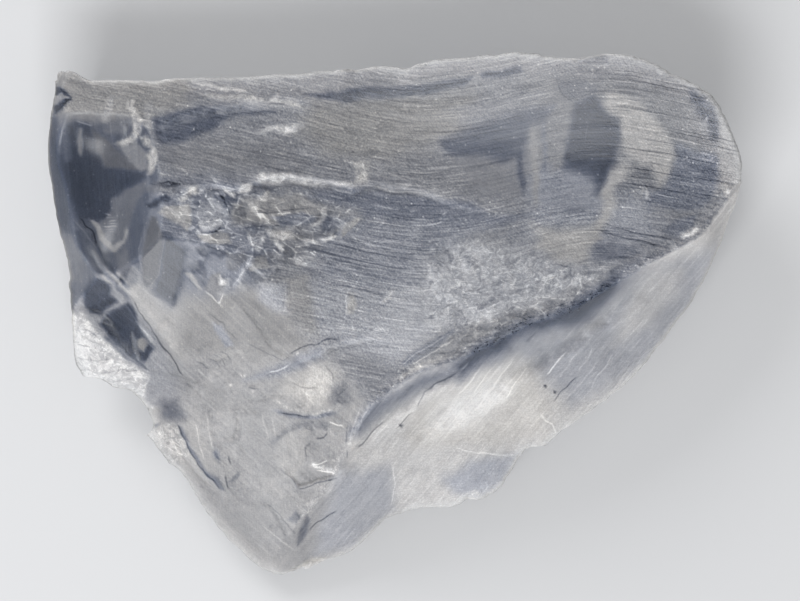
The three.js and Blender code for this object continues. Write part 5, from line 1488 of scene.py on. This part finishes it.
# Painted sparkles show most on clear ground
SPARKLING = [(0.30, 1.0), (0.65, 0.25)]  # and how much of the sparkles
shows = add(RAMP, stops=HIDING, in_0=known["milk_and_light"])
on_dark = add(RAMP, stops=SPARKLING, in_0=known["milk_and_light"])
grainy = total(product(known["scratched"], 0.7), 0.25)
# Each row is multiplied out: pattern, strength, where it shows
DIMMING = [
    (swing(broad, 0.12),),
    (swing(cloud, 0.12),),
    (swing(fine, 0.15), known["scratched"]),
    (swing(hatch, 0.13), known["scratched"]),
    (swing(dust, 0.22), grainy),
    (dark_lines, -0.26, known["ruled"]),
]
dimming = total(*(product(*row) for row in DIMMING))
MILKINESS_AND_LIGHT = [
    (dimming, shows),
    (sparkle, 0.5, on_dark, grainy),
    (painted_chip_light, known["chipped"]),
    (swing(tears, 0.40), known["crushed"]),
    (light_veins, 0.30, known["crushed"]),
    (dark_veins, -0.22, known["crushed"]),
    (light_lines, 0.14, known["scratched"]),
    (on_hairline, known["hair_change"]),
]
milky_and_lit = total(known["milk_and_light"], *(product(*row) for row in MILKINESS_AND_LIGHT))

# %% [markdown]
# ### Colour, gloss and relief
# Two ramps of colour run from clear to crushed, one bluish and one creamy, and the warmth mixes them. The
# dark end is a blue grey, since clear petalite over a pale floor would lose the darkness inside it. Clear
# ground is glossy and crushed ground is matt. The relief only bends the light on what is finer than the
# mesh: every step, rib and facet that can be seen as a shape is in the mesh itself.

# %% Colour, clearness and gloss, by milkiness
COOL = [(0, "333E52"), (0.25, "646D80"), (0.5, "8B909D"), (0.75, "B1B4BC"), (1, "DADCE0")]
CREAMY = [(0, "3D3E45"), (0.25, "6C6C6F"), (0.5, "939291"), (0.75, "B7B4B0"), (1, "E2DFDA")]
CLEARNESS = [(0, 0.55), (0.3, 0.40), (0.6, 0.18), (0.9, 0.0)]
GLOSS = [(0, 0.28), (0.4, 0.33), (0.7, 0.40), (1, 0.60)]  # roughness: glassy, then matt
cool, creamy, clear, gloss = (add(RAMP, stops=s, in_0=milky_and_lit) for s in (COOL, CREAMY, CLEARNESS, GLOSS))
colour = add("ShaderNodeMix", {"data_type": "RGBA"}, in_0=known["warm"], in_6=cool, in_7=creamy).outputs[2]
rough = total(gloss, product(swing(shreds, 0.3), known["crushed"]), product(known["polished"], -0.20))

# %% Relief: pattern, height in hundredths of a millimetre, where it shows
RELIEF = [
    (broad, 1.6, known["scratched"]),
    (fine, 0.7, known["scratched"]),
    (hatch, 0.5, known["scratched"]),
    (dust, 0.5, known["scratched"]),
    (big_height, 16.0, known["chipped"]),
    (small_height, 6.0, known["chipped"]),
    (shreds, 14.0, known["crushed"]),
]
relief = total(*(product(*row) for row in RELIEF))
bump = add("ShaderNodeBump", Height=relief, Strength=1.0, Distance=0.01 * MM)

# %% The stone's own optics
PETALITE_IOR = 1.51
SHINE = 0.35  # fine fractures take off some of the usual 0.5
SCATTER_DEPTH = 3.5 * MM  # how far light wanders under the surface
SCATTER_TINT = (1.0, 0.95, 0.9)  # red wanders farthest
ABSORPTION_TINT, ABSORPTION_DENSITY = "8A98B0", 60.0  # faint blue, per metre
tree.links.new(colour, shader.inputs["Base Color"])
tree.links.new(rough.outputs[0], shader.inputs["Roughness"])
tree.links.new(clear.outputs[0], shader.inputs["Transmission Weight"])
tree.links.new(bump.outputs[0], shader.inputs["Normal"])
shader.inputs["IOR"].default_value = PETALITE_IOR
shader.inputs["Specular IOR Level"].default_value = SHINE
shader.inputs["Subsurface Weight"].default_value = 1.0
shader.inputs["Subsurface Radius"].default_value = SCATTER_TINT
shader.inputs["Subsurface Scale"].default_value = SCATTER_DEPTH
absorb = add("ShaderNodeVolumeAbsorption", Color=linear(ABSORPTION_TINT), Density=ABSORPTION_DENSITY)
tree.links.new(absorb.outputs[0], tree.nodes["Material Output"].inputs["Volume"])
mesh.materials.append(petalite)
print("nodes in the material:", len(tree.nodes))

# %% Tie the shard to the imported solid
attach(shard, "root")
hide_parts("petalite")

# %% [markdown]
# ## Floor, light and camera
# The stone lies on a plain pale floor under a pale sky. One large lamp could light it, but then the ribs and
# chips would hardly show, so a key lamp stands low in front and a weaker one rakes across from behind. The
# camera looks straight down from well above the stone, because a near one would show the sides and bend the
# outline.

# %% Floor
FLOOR_HALF = 1.0  # metres
FLOOR_LEVEL = -5e-5  # metres: just clear of the flat face, so that the two don't flicker
FLOOR_COLOUR, FLOOR_ROUGHNESS = "CBCCCE", 0.8
ROUND_THE_SQUARE = [(-1, -1), (1, -1), (1, 1), (-1, 1)]
floor_corners = [(way_x * FLOOR_HALF, way_y * FLOOR_HALF, FLOOR_LEVEL) for way_x, way_y in ROUND_THE_SQUARE]
floor_mesh = bpy.data.meshes.new("floor")
floor_mesh.from_pydata(floor_corners, [], [(0, 1, 2, 3)])
floor = bpy.data.objects.new("floor", floor_mesh)
bpy.context.scene.collection.objects.link(floor)
floor_material = bpy.data.materials.new("pale_floor")
floor_material.use_nodes = True
floor_shader = floor_material.node_tree.nodes["Principled BSDF"]
floor_shader.inputs["Base Color"].default_value = linear(FLOOR_COLOUR)
floor_shader.inputs["Roughness"].default_value = FLOOR_ROUGHNESS
floor_mesh.materials.append(floor_material)
print("floor, metres across:", 2 * FLOOR_HALF)

# %% Light
SKY = 0.42  # strength of the pale surround
world = bpy.data.worlds.new("studio")
world.use_nodes = True
sky = world.node_tree.nodes["Background"]
sky.inputs["Color"].default_value = (1, 1, 1, 1)
sky.inputs["Strength"].default_value = SKY
bpy.context.scene.world = world


def lamp(name, place, size, power):
    """A square soft light at a place in metres, aimed at the stone: size in metres, power in watts."""
    data = bpy.data.lights.new(name, "AREA")
    data.size = size
    data.energy = power
    light = bpy.data.objects.new(name, data)
    light.location = place
    light.rotation_euler = (-light.location).to_track_quat("-Z", "Y").to_euler()
    bpy.context.scene.collection.objects.link(light)


lamp("key", (-0.12, -0.46, 0.46), size=0.45, power=4.0)
lamp("rake", (-0.34, 0.46, 0.36), size=0.30, power=2.4)
print("lamps:", [light.name for light in bpy.data.lights])

# %% Camera
CAMERA_HEIGHT = 0.60  # metres above the level of the rim
RIM_LEVEL = 0.009
FRAME_WIDTH = 0.080  # metres seen at the level of the rim
CAMERA_X, CAMERA_Y = 0.0006, 0.00155  # metres: the middle of the view
camera_data = bpy.data.cameras.new("camera")
camera_data.lens = camera_data.sensor_width * CAMERA_HEIGHT / FRAME_WIDTH
camera = bpy.data.objects.new("camera", camera_data)
camera.location = (CAMERA_X, CAMERA_Y, CAMERA_HEIGHT + RIM_LEVEL)
bpy.context.scene.collection.objects.link(camera)
bpy.context.scene.camera = camera
bpy.context.scene.view_settings.view_transform = "Standard"
print("lens, mm:", camera_data.lens)
